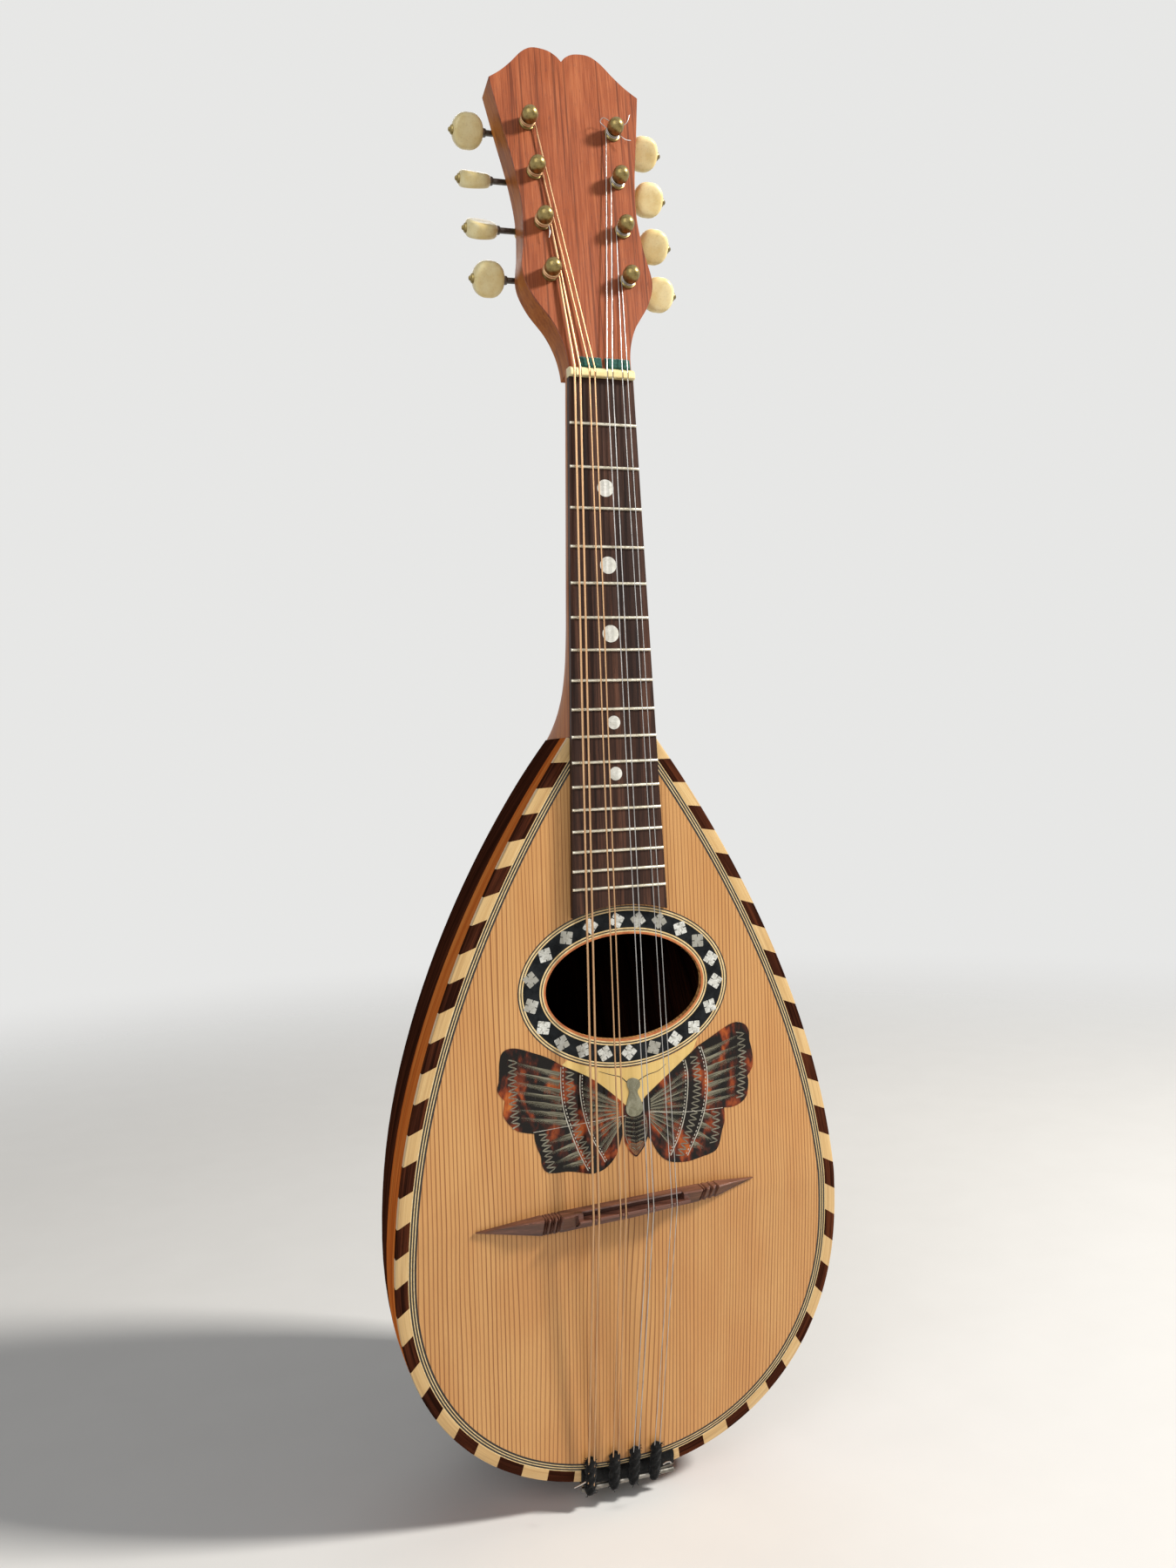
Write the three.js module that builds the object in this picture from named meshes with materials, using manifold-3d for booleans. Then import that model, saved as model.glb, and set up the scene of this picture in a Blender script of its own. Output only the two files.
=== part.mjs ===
// Bowl back mandolin, millimetres, +Z up once the whole instrument is stood on its tail.
// It is built lying in the soundboard's own frame: X to the treble side, Y from the bend of the
// soundboard up the neck, Z out of the soundboard towards the player.

import * as THREE from 'three';
import { mergeVertices } from 'three/addons/utils/BufferGeometryUtils.js';
import Module from 'manifold-3d';

const wasm = await Module();
wasm.setup();

// Sizes that several pieces share
const gap = 0.3; // between pieces that touch
const overrun = 2; // how far a cutting tool passes through
const scaleLength = 330; // open string, nut to the theoretical bridge line
const bridgeSetback = 7; // the bridge stands this much further, to keep the frets in tune
const nutY = scaleLength + bridgeSetback;
const semitonesPerOctave = 12;
const bodyFret = 10; // the fret over the end of the body

const fretY = (fret) => nutY - scaleLength * (1 - 2 ** (-fret / semitonesPerOctave));
const jointY = fretY(bodyFret);

// Soundboard outline and its bend
const bodyHalfWidth = 97;
const widestY = -20;
const tailLength = 102; // widest place to tail, along the board
const tailFullness = 2.15; // exponent of the round end, 2 is an ellipse
const shoulderHalfWidth = 18.8; // body half width where it meets the neck
const shoulderPullLength = 9;
const shoulderAngle = THREE.MathUtils.degToRad(33);
const flankPullLength = 107;
const cant = THREE.MathUtils.degToRad(6.6); // slope of the board below the bend
const boardThickness = 2.6;

// Bowl
const bowlDepth = 142;
const bowlFullness = 2.45;
const bowlSweep = 0.51; // how fast the bowl gains depth as it gains width
const ribThickness = 2;
const ribTailHalfWidth = 9; // half width where the ribs end at the tail
const staveCount = 9; // broad ribs between the two narrow side bands
const sideBandShare = 0.05; // of the whole arc, for each side band

// Soundboard furniture
const bindingWidth = 5;
const bindingThickness = 1.6;
const holeHalfWidth = 34.2;
const holeHalfHeight = 21.6;
const rosetteHalfWidth = 45.8;
const rosetteHalfHeight = 33.4;
const inlayThickness = 0.8;
const guardX = 3;
const holeX = 1.8; // the hole and its ring stand a little to the treble side
const guardHalfWidth = 55.9;
const guardTopDrop = 19.9; // its wing tips below the middle of the hole
const guardBottomY = 14.2;
const braceDrop = 37.3; // top brace below the middle of the hole
const braceWidth = 7;
const braceHeight = 11;

// Neck, fingerboard and nut
const nutHalfWidth = 13.9;
const seventeenthHalfWidth = 20.4;
const fretCount = 17;
const lastFretRoom = 7.9; // last fret to the rosette
const boardOfFretsThickness = 2.6;
const fretWidth = 1.8;
const fretHeight = 0.9;
const nutLength = 3.7;
const nutRise = 5.4;
const neckDepthAtNut = 13;
const neckDepthAtBody = 19;
const heelLength = 46;

const holeY = fretY(fretCount) - lastFretRoom - rosetteHalfHeight;

// Headstock
const headTilt = THREE.MathUtils.degToRad(14);
const headLength = 152.4;
const headHalfWidth = 33.4;
const headThickness = 12;
const headRise = 2.3; // its face above the neck's, at the nut

// Tuners, set out from the headstock's face
const tunersPerSide = 4;
const firstPostY = 42;
const postPitch = 23.8;
const postX = 16.9;
const rowFlare = THREE.MathUtils.degToRad(1.7);
const plateThickness = 0.9;
const plateInside = 6;
const plateOutside = 6.4;
const gearTeeth = 14;
const threadPitch = 2.35;
const wormPitchRadius = 2.4;
const toothAddendum = 0.6;
const toothClearance = 0.3;
const gearThickness = 3;
const wormLift = 3.4; // worm axis above the plate
const wormTurns = 3;
const gearPitchRadius = (gearTeeth * threadPitch) / (2 * Math.PI);
const wormOffset = gearPitchRadius + wormPitchRadius;
const backFace = headThickness + gap + plateThickness;
const wormDepth = backFace + wormLift;
const postRadius = 2.3;
const capRadius = 3.5;
const postHeight = 8.8;
const shaftRadius = 1.3;
const lugThickness = 1.1;
const lugSpan = 9.2; // clear between a worm's two lugs
const buttonReach = 20.9; // post to middle of button
const buttonLength = 13.4; // along its shaft
const buttonWidth = 14.5;
const buttonThickness = 7.3;
const spindleRadius = 1; // the shaft where it passes through the button
const rivetRadius = 1.9;
const rivetLength = 1.4;

// Bridge and strings
const bridgeBassLength = 65; // from the middle of the saddle to each tip
const bridgeTrebleLength = 56.5;
const bridgeWingRoot = 38; // each wing tapers from here to its tip
const bridgeWidth = 8.4;
const bridgeY = -2; // middle of the bar
const bridgeTipShift = 2.2; // each tip lies this much nearer the neck than that middle
const bridgeHeight = 8.3;
const bridgeSlant = THREE.MathUtils.degToRad(2.2); // treble end nearer the neck
const saddleHalfLength = 22;
const saddleWidth = 1.9;
const nutStringHeight = 4.6; // string centre line above the board plane at the nut
const bridgeStringHeight = bridgeHeight; // each string lies half sunk in the bridge's ridge
const ridgeY = -0.1; // middle of that ridge
const courseSpread = 2.3; // between the two strings of a pair
const courseGauges = [0.95, 0.66, 0.42, 0.34];
const nutCourseShares = [-0.78, -0.33, 0.22, 0.69]; // of the nut's half width
const bridgeCourseShares = [-0.78, -0.25, 0.3, 0.77]; // of the saddle's half length
const tailCourseShares = [-0.74, -0.25, 0.16, 0.62]; // of the tailpiece's half width
const windingTurns = 1.6;
const windingPitch = 1.3;
const windingFoot = 2; // lowest loop above the headstock's face
const loopSteps = 14;
const stringSides = 5;

// Tail
const tailpieceHalfWidth = 21;
const tailpieceDepth = 42;
const tailpieceThickness = 1;
const beadRadius = 1.1;
const hookWidth = 2.4;
const hookReach = 3.4;
const hookDepth = 14; // below the tailpiece's rolled edge
const buttonSetback = 40; // end button's axis behind the soundboard plane
const endPinRadius = 2.9;
const endButtonRadius = 7;
const endButtonLength = 9;
const endPinLength = 17;
const blockThickness = 16;
const damperThickness = 1.3;
const damperRadius = 2.7;
const damperLength = 13;

// Fineness of the faceting
const flankSteps = 9;
const tailSteps = 7;
const staveSteps = 2;
const holeSteps = 28;
const roundSides = 12;

// Finishes
const finishes = {
  spruce: { color: 0xd79a4e, roughness: 0.45 },
  rosewood: { color: 0x4a2418, roughness: 0.35 },
  darkRosewood: { color: 0x35191a, roughness: 0.5 },
  headwood: { color: 0x8a4530, roughness: 0.5 },
  maple: { color: 0xd9b878, roughness: 0.4 },
  pearl: { color: 0xc9c8c0, roughness: 0.25 },
  shell: { color: 0x5a2413, roughness: 0.2 },
  bone: { color: 0xe6d8a0, roughness: 0.4 },
  brass: { color: 0x8c6a2f, roughness: 0.35, metalness: 1 },
  steel: { color: 0x9c9c9c, roughness: 0.35, metalness: 1 },
  bronze: { color: 0xb8773c, roughness: 0.35, metalness: 1 },
  blackCloth: { color: 0x121212, roughness: 1 },
};

const { cos, sin, abs, PI, sign, min, max, sqrt, hypot } = Math;

// Solids

function toSolid(geometry) {
  const bare = geometry.clone();
  bare.deleteAttribute('normal');
  bare.deleteAttribute('uv');
  const welded = mergeVertices(bare);
  const vertProperties = new Float32Array(welded.attributes.position.array);
  const triVerts = new Uint32Array(welded.index.array);
  return new wasm.Manifold(new wasm.Mesh({ numProp: 3, vertProperties, triVerts }));
}

function toGeometry(solid) {
  const { vertProperties, triVerts } = solid.getMesh();
  const geometry = new THREE.BufferGeometry();
  geometry.setAttribute('position', new THREE.BufferAttribute(vertProperties, 3));
  geometry.setIndex(new THREE.BufferAttribute(triVerts, 1));
  geometry.computeVertexNormals();
  return geometry;
}

const cut = (base, tools) =>
  toGeometry(tools.reduce((solid, tool) => solid.subtract(toSolid(tool)), toSolid(base)));

const join = (pieces) =>
  toGeometry(pieces.slice(1).reduce((solid, piece) => solid.add(toSolid(piece)), toSolid(pieces[0])));

const common = (base, tool) => toGeometry(toSolid(base).intersect(toSolid(tool)));

function signedVolume(geometry) {
  const { position } = geometry.attributes;
  const [a, b, c] = [new THREE.Vector3(), new THREE.Vector3(), new THREE.Vector3()];
  let volume = 0;
  for (let i = 0; i < geometry.index.count; i += 3) {
    a.fromBufferAttribute(position, geometry.index.getX(i));
    b.fromBufferAttribute(position, geometry.index.getX(i + 1));
    c.fromBufferAttribute(position, geometry.index.getX(i + 2));
    volume += a.dot(b.cross(c));
  }
  return volume;
}

// A closed mesh from points and triangles, turned so that its faces point out
function closedMesh(points, triangles) {
  const geometry = new THREE.BufferGeometry();
  geometry.setAttribute('position', new THREE.Float32BufferAttribute(points.flatMap((p) => [p.x, p.y, p.z]), 3));
  geometry.setIndex(triangles.flat());
  if (signedVolume(geometry) < 0) geometry.setIndex(triangles.flatMap(([i, j, k]) => [i, k, j]));
  geometry.computeVertexNormals();
  return geometry;
}

// Closed convex rings joined one to the next, with a flat cap at each end
function loft(rings) {
  const sides = rings[0].length;
  const triangles = [];
  for (let row = 0; row < rings.length - 1; row++) {
    for (let i = 0; i < sides; i++) {
      const next = (i + 1) % sides;
      const [a, b, c, d] = [row * sides + i, row * sides + next, (row + 1) * sides + next, (row + 1) * sides + i];
      triangles.push([a, b, c], [a, c, d]);
    }
  }
  const last = (rings.length - 1) * sides;
  for (let i = 1; i < sides - 1; i++) {
    triangles.push([0, i + 1, i], [last, last + i, last + i + 1]);
  }
  return closedMesh(rings.flat(), triangles);
}

// A curved plate between two grids of points of the same size
function plate(outer, inner) {
  const [rows, columns] = [outer.length, outer[0].length];
  const offset = rows * columns;
  const at = (row, column) => row * columns + column;
  const triangles = [];
  const quad = (a, b, c, d) => triangles.push([a, b, c], [a, c, d]);
  for (let row = 0; row < rows - 1; row++) {
    for (let column = 0; column < columns - 1; column++) {
      const corners = [at(row, column), at(row + 1, column), at(row + 1, column + 1), at(row, column + 1)];
      quad(...corners);
      quad(...corners.reverse().map((index) => index + offset));
    }
  }
  const rim = [];
  for (let column = 0; column < columns - 1; column++) rim.push(at(0, column));
  for (let row = 0; row < rows - 1; row++) rim.push(at(row, columns - 1));
  for (let column = columns - 1; column > 0; column--) rim.push(at(rows - 1, column));
  for (let row = rows - 1; row > 0; row--) rim.push(at(row, 0));
  rim.forEach((index, i) => {
    const next = rim[(i + 1) % rim.length];
    quad(index, next, next + offset, index + offset);
  });
  return closedMesh([...outer.flat(), ...inner.flat()], triangles);
}

// A flat piece with the given outline, from height low to height high
function slab(outline, low, high, holes = []) {
  const shape = new THREE.Shape(THREE.ShapeUtils.isClockWise(outline) ? outline.toReversed() : outline);
  shape.holes = holes.map((hole) => new THREE.Path(hole));
  return new THREE.ExtrudeGeometry(shape, { depth: high - low, bevelEnabled: false }).translate(0, 0, low);
}

const block = (lowX, highX, lowY, highY, lowZ, highZ) =>
  new THREE.BoxGeometry(highX - lowX, highY - lowY, highZ - lowZ)
    .translate((lowX + highX) / 2, (lowY + highY) / 2, (lowZ + highZ) / 2);

// Turns an extruded drawing so that its x runs along Y, its y along Z and its depth along X
const facingX = new THREE.Matrix4().makeBasis(
  new THREE.Vector3(0, 1, 0), new THREE.Vector3(0, 0, 1), new THREE.Vector3(1, 0, 0),
);

const disc = (radius, low, high, sides = roundSides) =>
  new THREE.CylinderGeometry(radius, radius, high - low, sides).rotateX(PI / 2).translate(0, 0, (low + high) / 2);

function turned(profile, sides = roundSides) {
  return new THREE.LatheGeometry(profile.map(([radius, height]) => new THREE.Vector2(radius, height)), sides);
}

const ellipse = (halfWidth, halfHeight, centreY, steps = holeSteps, centreX = 0) =>
  new THREE.EllipseCurve(centreX, centreY, halfWidth, halfHeight).getPoints(steps).slice(0, -1);

// A curve through hand placed stations, so that a tube has its rings exactly there
class StationCurve extends THREE.Curve {
  constructor(stations) {
    super();
    this.stations = stations;
  }

  getPoint(share, target = new THREE.Vector3()) {
    const place = share * (this.stations.length - 1);
    const index = min(Math.floor(place + Number.EPSILON), this.stations.length - 2);
    return target.lerpVectors(this.stations[index], this.stations[index + 1], place - index);
  }

  getPointAt(share, target) {
    return this.getPoint(share, target);
  }

  getTangentAt(share, target = new THREE.Vector3()) {
    const last = this.stations.length - 1;
    const index = Math.round(share * last);
    const before = this.stations[max(index - 1, 0)];
    const after = this.stations[min(index + 1, last)];
    return target.subVectors(after, before).normalize();
  }
}

function tube(stations, radius, sides = stringSides) {
  const section = new THREE.Shape(new THREE.EllipseCurve(0, 0, radius, radius).getPoints(sides).slice(0, -1));
  const extrudePath = new StationCurve(stations);
  return new THREE.ExtrudeGeometry(section, { steps: stations.length - 1, extrudePath });
}

const mandolin = new THREE.Group();
const head = new THREE.Group();
mandolin.add(head);

function addPiece(parent, name, geometry, finish) {
  const mesh = new THREE.Mesh(geometry, new THREE.MeshStandardMaterial(finishes[finish]));
  mesh.name = name;
  parent.add(mesh);
  return mesh;
}

// Body outline, as half widths down the treble side

const flank = new THREE.CubicBezierCurve(
  new THREE.Vector2(shoulderHalfWidth, jointY),
  new THREE.Vector2(
    shoulderHalfWidth + shoulderPullLength * sin(shoulderAngle),
    jointY - shoulderPullLength * cos(shoulderAngle),
  ),
  new THREE.Vector2(bodyHalfWidth, widestY + flankPullLength),
  new THREE.Vector2(bodyHalfWidth, widestY),
);

const roundPower = 2 / tailFullness;
const tailEdge = (angle) =>
  new THREE.Vector2(bodyHalfWidth * cos(angle) ** roundPower, widestY - tailLength * sin(angle) ** roundPower);

const ribTailAngle = Math.acos((ribTailHalfWidth / bodyHalfWidth) ** (1 / roundPower));

// Places down the edge: flank first, then the round end as far as the given angle
function edgePlaces(lastAngle) {
  const upper = Array.from({ length: flankSteps }, (_, i) => flank.getPoint(i / flankSteps));
  const lower = Array.from({ length: tailSteps + 1 }, (_, i) => tailEdge((lastAngle * i) / tailSteps));
  return [...upper, ...lower];
}

// The whole outline, moved in by inset and closed across the neck end
function boardOutline(inset) {
  const edge = edgePlaces(PI / 2);
  edge[edge.length - 1].x = 0;
  const moved = edge.map((place, i) => {
    const before = edge[max(i - 1, 0)];
    const after = edge[i + 1] ?? new THREE.Vector2(-before.x, before.y);
    const along = new THREE.Vector2().subVectors(after, before).normalize();
    return new THREE.Vector2(place.x + along.y * inset, place.y - along.x * inset);
  });
  moved[moved.length - 1].x = 0;
  const bass = moved.slice(0, -1).map((place) => new THREE.Vector2(-place.x, place.y));
  return [...moved, ...bass.reverse()];
}

// A flat piece of the soundboard's plane, bent at the bend line
function bentSlab(outline, low, high, holes = []) {
  const flat = slab(outline, low, high, holes);
  const reach = 2 * (scaleLength + bodyHalfWidth);
  const upper = common(flat, block(-reach, reach, 0, reach, -reach, reach));
  const lower = common(flat, block(-reach, reach, -reach, 0, -reach, reach)).rotateX(cant);
  return join([upper, lower]);
}

const onBoard = (x, y, height = 0) =>
  y >= 0
    ? new THREE.Vector3(x, y, height)
    : new THREE.Vector3(x, y * cos(cant) - height * sin(cant), y * sin(cant) + height * cos(cant));

// Bowl surface

const edgeDrop = (y) => max(0, -y) * sin(cant);
const edgeLevel = (y) => (y < 0 ? y * cos(cant) : y);
const rimDepth = boardThickness + gap;

// A point of the bowl at a place of the edge: angle 0 is the treble rim, PI the bass rim
function bowlPoint(place, angle, inset, shift = 0) {
  const drop = edgeDrop(place.y);
  const depth = (bowlDepth - drop) * (place.x / bodyHalfWidth) ** bowlSweep - inset - rimDepth;
  const power = 2 / bowlFullness;
  const width = place.x - inset;
  const section = (a) => [width * sign(cos(a)) * abs(cos(a)) ** power, -depth * abs(sin(a)) ** power];
  const [x, z] = section(angle);
  const tailShare = place.y < widestY ? (tailLength - inset) / tailLength : 1;
  const y = widestY + (place.y - widestY) * tailShare;
  const point = new THREE.Vector3(x, edgeLevel(y), z - drop - rimDepth);
  if (shift) {
    const step = PI / 360;
    const [x1, z1] = section(min(PI, angle + step));
    const [x0, z0] = section(max(0, angle - step));
    const length = hypot(x1 - x0, z1 - z0);
    point.x += (shift * (x1 - x0)) / length;
    point.z += (shift * (z1 - z0)) / length;
  }
  return point;
}

// The angles at which shares of the widest section's arc are reached
function arcAngles(shares) {
  const steps = 360;
  const widest = new THREE.Vector2(bodyHalfWidth, widestY);
  const walk = Array.from({ length: steps + 1 }, (_, i) => bowlPoint(widest, (PI * i) / steps, 0));
  const lengths = [0];
  for (let i = 1; i <= steps; i++) lengths.push(lengths[i - 1] + walk[i].distanceTo(walk[i - 1]));
  return shares.map((share) => {
    const target = share * lengths[steps];
    const index = min(lengths.findLastIndex((length) => length <= target), steps - 1);
    const part = (target - lengths[index]) / (lengths[index + 1] - lengths[index]);
    return (PI * (index + part)) / steps;
  });
}

const seams = arcAngles([
  0,
  ...Array.from({ length: staveCount + 1 }, (_, i) => sideBandShare + ((1 - 2 * sideBandShare) * i) / staveCount),
  1,
]);
const ribPlaces = edgePlaces(ribTailAngle);

// The angles of one rib's corners and of the folds between them
const foldsBetween = (from, to) =>
  Array.from({ length: staveSteps + 1 }, (_, i) => from + ((to - from) * i) / staveSteps);

function ribGeometry(rib) {
  const grid = (inset) => ribPlaces.map((place) =>
    foldsBetween(seams[rib], seams[rib + 1]).map((angle, i) => {
      const onSeam = (i === 0 && rib > 0) - (i === staveSteps && rib < seams.length - 2);
      return bowlPoint(place, angle, inset, (onSeam * gap) / 2);
    }));
  return plate(grid(0), grid(ribThickness));
}

function addBowl() {
  const last = seams.length - 2;
  for (let rib = 0; rib <= last; rib++) {
    const name = rib === 0 ? 'treble_side_band' : rib === last ? 'bass_side_band' : `bowl_rib_${rib}`;
    addPiece(mandolin, name, ribGeometry(rib), 'rosewood');
  }
}

// Blocks inside the bowl, filling its section between two places of the edge
function blockGeometry(places) {
  const angles = [...seams.slice(0, -1).flatMap((seam, i) => foldsBetween(seam, seams[i + 1]).slice(0, -1)), PI];
  return loft(places.map((place) => angles.map((angle) => bowlPoint(place, angle, ribThickness + gap))));
}

function addBlocks() {
  addPiece(mandolin, 'neck_block', blockGeometry(ribPlaces.slice(0, 3)), 'maple');
  const pinHole = new THREE.CylinderGeometry(endPinRadius + gap, endPinRadius + gap, tailLength, roundSides)
    .translate(0, widestY - tailLength, -buttonSetback);
  addPiece(mandolin, 'tail_block', cut(blockGeometry(ribPlaces.slice(-3)), [pinHole]), 'maple');

  const braceY = holeY - braceDrop;
  const half = flank.getPoint((jointY - braceY) / (jointY - widestY)).x - 4 * ribThickness;
  const brace = [
    [-1, 0], [-1, -0.4], [-0.75, -1], [0.75, -1], [1, -0.4], [1, 0],
  ].map(([x, z]) => new THREE.Vector2(x * half, z * braceHeight));
  const bar = new THREE.ExtrudeGeometry(new THREE.Shape(brace), { depth: braceWidth, bevelEnabled: false })
    .rotateX(PI / 2).translate(0, braceY, -boardThickness - gap);
  addPiece(mandolin, 'soundboard_brace', bar, 'spruce');
}

// Pickguard outline: two wings, an abdomen between them and a panel up to the rosette
const wingShares = [ // across from the middle, and up from the lowest place
  [0.104, 0.239], [0.157, 0.132], [0.26, 0.02], [0.4, 0], [0.564, 0.024], [0.69, 0.085],
  [0.748, 0.295], [0.757, 0.357], [0.903, 0.395], [0.97, 0.489], [0.959, 0.62],
  [1, 0.73], [0.977, 0.942], [0.868, 1], [0.707, 0.942],
];
const abdomenShare = 0.08;
const panelShares = [0.528, 0.84]; // where a wing's upper edge meets the panel
const panelTopShare = 0.4; // half width of the panel where it meets the rosette
const panelSteps = 10;

function guardOutline(grow) {
  const place = ([across, up]) =>
    new THREE.Vector2(across * guardHalfWidth, guardBottomY + up * (holeY - guardTopDrop - guardBottomY));
  const wing = new THREE.SplineCurve([...wingShares, panelShares].map(place)).getPoints(24);
  const besideRosette = Array.from({ length: panelSteps + 1 }, (_, i) => {
    const x = panelTopShare * guardHalfWidth * (1 - (2 * i) / panelSteps);
    const fall = sqrt(1 - ((x + guardX - holeX) / (rosetteHalfWidth + gap)) ** 2);
    return new THREE.Vector2(x, holeY - (rosetteHalfHeight + gap) * fall - gap);
  });
  const bassWing = wing.map(({ x, y }) => new THREE.Vector2(-x, y)).reverse();
  const whole = [place([0, abdomenShare]), ...wing, ...besideRosette, ...bassWing];
  const middle = place([0, 0.5]);
  return whole.map((point) => {
    const outward = point.clone().sub(middle).normalize();
    return new THREE.Vector2(guardX, 0).add(point).addScaledVector(outward, grow);
  });
}

function addSoundboard() {
  const ring = (halfWidth, halfHeight) => ellipse(halfWidth, halfHeight, holeY, holeSteps, holeX);
  const hole = ring(holeHalfWidth, holeHalfHeight);
  const sheet = bentSlab(boardOutline(0), -boardThickness, 0, [hole]);
  const rabbet = bentSlab(boardOutline(-overrun), -bindingThickness - gap, overrun, [boardOutline(bindingWidth + gap)]);
  const rosetteSeat = slab(ring(rosetteHalfWidth + gap, rosetteHalfHeight + gap), -inlayThickness - gap, overrun);
  const guardSeat = slab(guardOutline(gap), -inlayThickness - gap, overrun);
  addPiece(mandolin, 'soundboard', cut(sheet, [rabbet, rosetteSeat, guardSeat]), 'spruce');

  const ringOutline = boardOutline(0);
  const border = bentSlab(ringOutline, -bindingThickness, 0, [boardOutline(bindingWidth)]);
  const neckEnd = block(-shoulderHalfWidth, shoulderHalfWidth, jointY - 2 * bindingWidth, jointY + overrun, -overrun - bindingThickness, overrun);
  addPiece(mandolin, 'edge_binding', cut(border, [neckEnd]), 'maple');
  const rosette = slab(ring(rosetteHalfWidth, rosetteHalfHeight), -inlayThickness, 0, [hole]);
  addPiece(mandolin, 'rosette_ring', rosette, 'pearl');
  addPiece(mandolin, 'pickguard', slab(guardOutline(0), -inlayThickness, 0), 'shell');
}

// Neck and fingerboard

const fingerboardSlope = (seventeenthHalfWidth - nutHalfWidth) / (nutY - fretY(fretCount));
const fingerboardHalf = (y) => nutHalfWidth + (nutY - y) * fingerboardSlope;
const headFootY = nutY + nutLength + gap;

function addNeck() {
  const heelDepth = bowlDepth * (shoulderHalfWidth / bodyHalfWidth) ** bowlSweep;
  const heelShares = [0, 0.06, 0.15, 0.3, 0.5, 0.75, 1]; // up the heel
  const heelTop = jointY + heelLength;
  const stations = heelShares.map((share) => jointY + gap + (heelLength - gap) * share);
  stations.push((heelTop + headFootY) / 2, headFootY - gap);
  const rings = stations.map((y) => {
    const heel = max(0, (heelTop - y) / heelLength);
    const plain = neckDepthAtNut + ((neckDepthAtBody - neckDepthAtNut) * (nutY - y)) / (nutY - heelTop);
    const depth = plain + (heelDepth - plain) * heel ** 3;
    const half = fingerboardHalf(min(y, nutY));
    return Array.from({ length: roundSides + 1 }, (_, i) => {
      const angle = (PI * i) / roundSides;
      const power = 2 / (2 + (bowlFullness - 2) * heel);
      return new THREE.Vector3(
        half * sign(cos(angle)) * abs(cos(angle)) ** power,
        y,
        -depth * sin(angle) ** power,
      );
    });
  });
  addPiece(mandolin, 'neck', loft(rings), 'headwood');
}

function addFingerboard() {
  const endHalf = fingerboardHalf(holeY + rosetteHalfHeight);
  const ringGap = 2 * gap;
  const steps = 6;
  const end = Array.from({ length: steps + 1 }, (_, i) => {
    const x = endHalf * (1 - (2 * i) / steps);
    const lift = sqrt(1 - ((x - holeX) / rosetteHalfWidth) ** 2);
    return new THREE.Vector2(x, holeY + rosetteHalfHeight * lift + ringGap);
  });
  const outline = [new THREE.Vector2(-nutHalfWidth, nutY), new THREE.Vector2(nutHalfWidth, nutY), ...end];
  const top = gap + boardOfFretsThickness;
  const frets = Array.from({ length: fretCount }, (_, i) => {
    const y = fretY(i + 1);
    const half = fingerboardHalf(y) - gap;
    const crown = new THREE.Shape([
      new THREE.Vector2(-fretWidth / 2, -fretHeight / 2),
      new THREE.Vector2(fretWidth / 2, -fretHeight / 2),
      new THREE.Vector2(fretWidth / 2, fretHeight / 3),
      new THREE.Vector2(fretWidth / 4, fretHeight),
      new THREE.Vector2(-fretWidth / 4, fretHeight),
      new THREE.Vector2(-fretWidth / 2, fretHeight / 3),
    ]);
    return new THREE.ExtrudeGeometry(crown, { depth: 2 * half, bevelEnabled: false })
      .applyMatrix4(facingX).translate(-half, y, top);
  });
  addPiece(mandolin, 'fingerboard', join([slab(outline, gap, top), ...frets]), 'darkRosewood');
}

// Headstock, drawn on its own face: Y up the face, Z out of it

head.position.set(0, nutY + nutLength, headRise);
head.rotation.x = -headTilt;
head.updateMatrix();

const headSideShares = [ // half width, and height up the face
  [0.4, -0.03], [0.405, 0.03], [0.45, 0.085], [0.55, 0.14], [0.745, 0.207],
  [0.848, 0.28], [0.79, 0.376], [0.757, 0.482], [0.8, 0.6], [0.905, 0.744], [1, 0.88],
];
const headTopShares = [
  [1, 0.88], [0.84, 0.907], [0.69, 0.94], [0.53, 0.98], [0.38, 1], [0.19, 0.998], [0.07, 0.984], [0, 0.966],
];

function headOutline() {
  const curve = (shares, steps) => new THREE.SplineCurve(
    shares.map(([x, y]) => new THREE.Vector2(x * headHalfWidth, y * headLength)),
  ).getPoints(steps);
  const treble = [...curve(headSideShares, 20), ...curve(headTopShares, 14).slice(1)];
  const bass = treble.slice(0, -1).map((point) => new THREE.Vector2(-point.x, point.y));
  return [...treble, ...bass.reverse()];
}

// The four posts of a row stand on a line that leans out by the row's flare
const postPlace = (side, index) => new THREE.Vector2(
  side * (postX + index * postPitch * Math.tan(rowFlare)),
  firstPostY + index * postPitch,
);
const sides = [{ name: 'bass', hand: -1 }, { name: 'treble', hand: 1 }];

function addHeadstock() {
  const body = slab(headOutline(), -headThickness, 0);
  const postHoles = sides.flatMap(({ hand }) => Array.from({ length: tunersPerSide }, (_, i) => {
    const place = postPlace(hand, i);
    return disc(postRadius + gap, -headThickness - overrun, overrun, 8).translate(place.x, place.y, 0);
  }));
  const foot = block(-headLength, headLength, -headLength, headFootY, -headLength, headLength)
    .applyMatrix4(head.matrix.clone().invert());
  addPiece(head, 'headstock', cut(body, [...postHoles, foot]), 'headwood');
}

// Tuners

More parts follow.
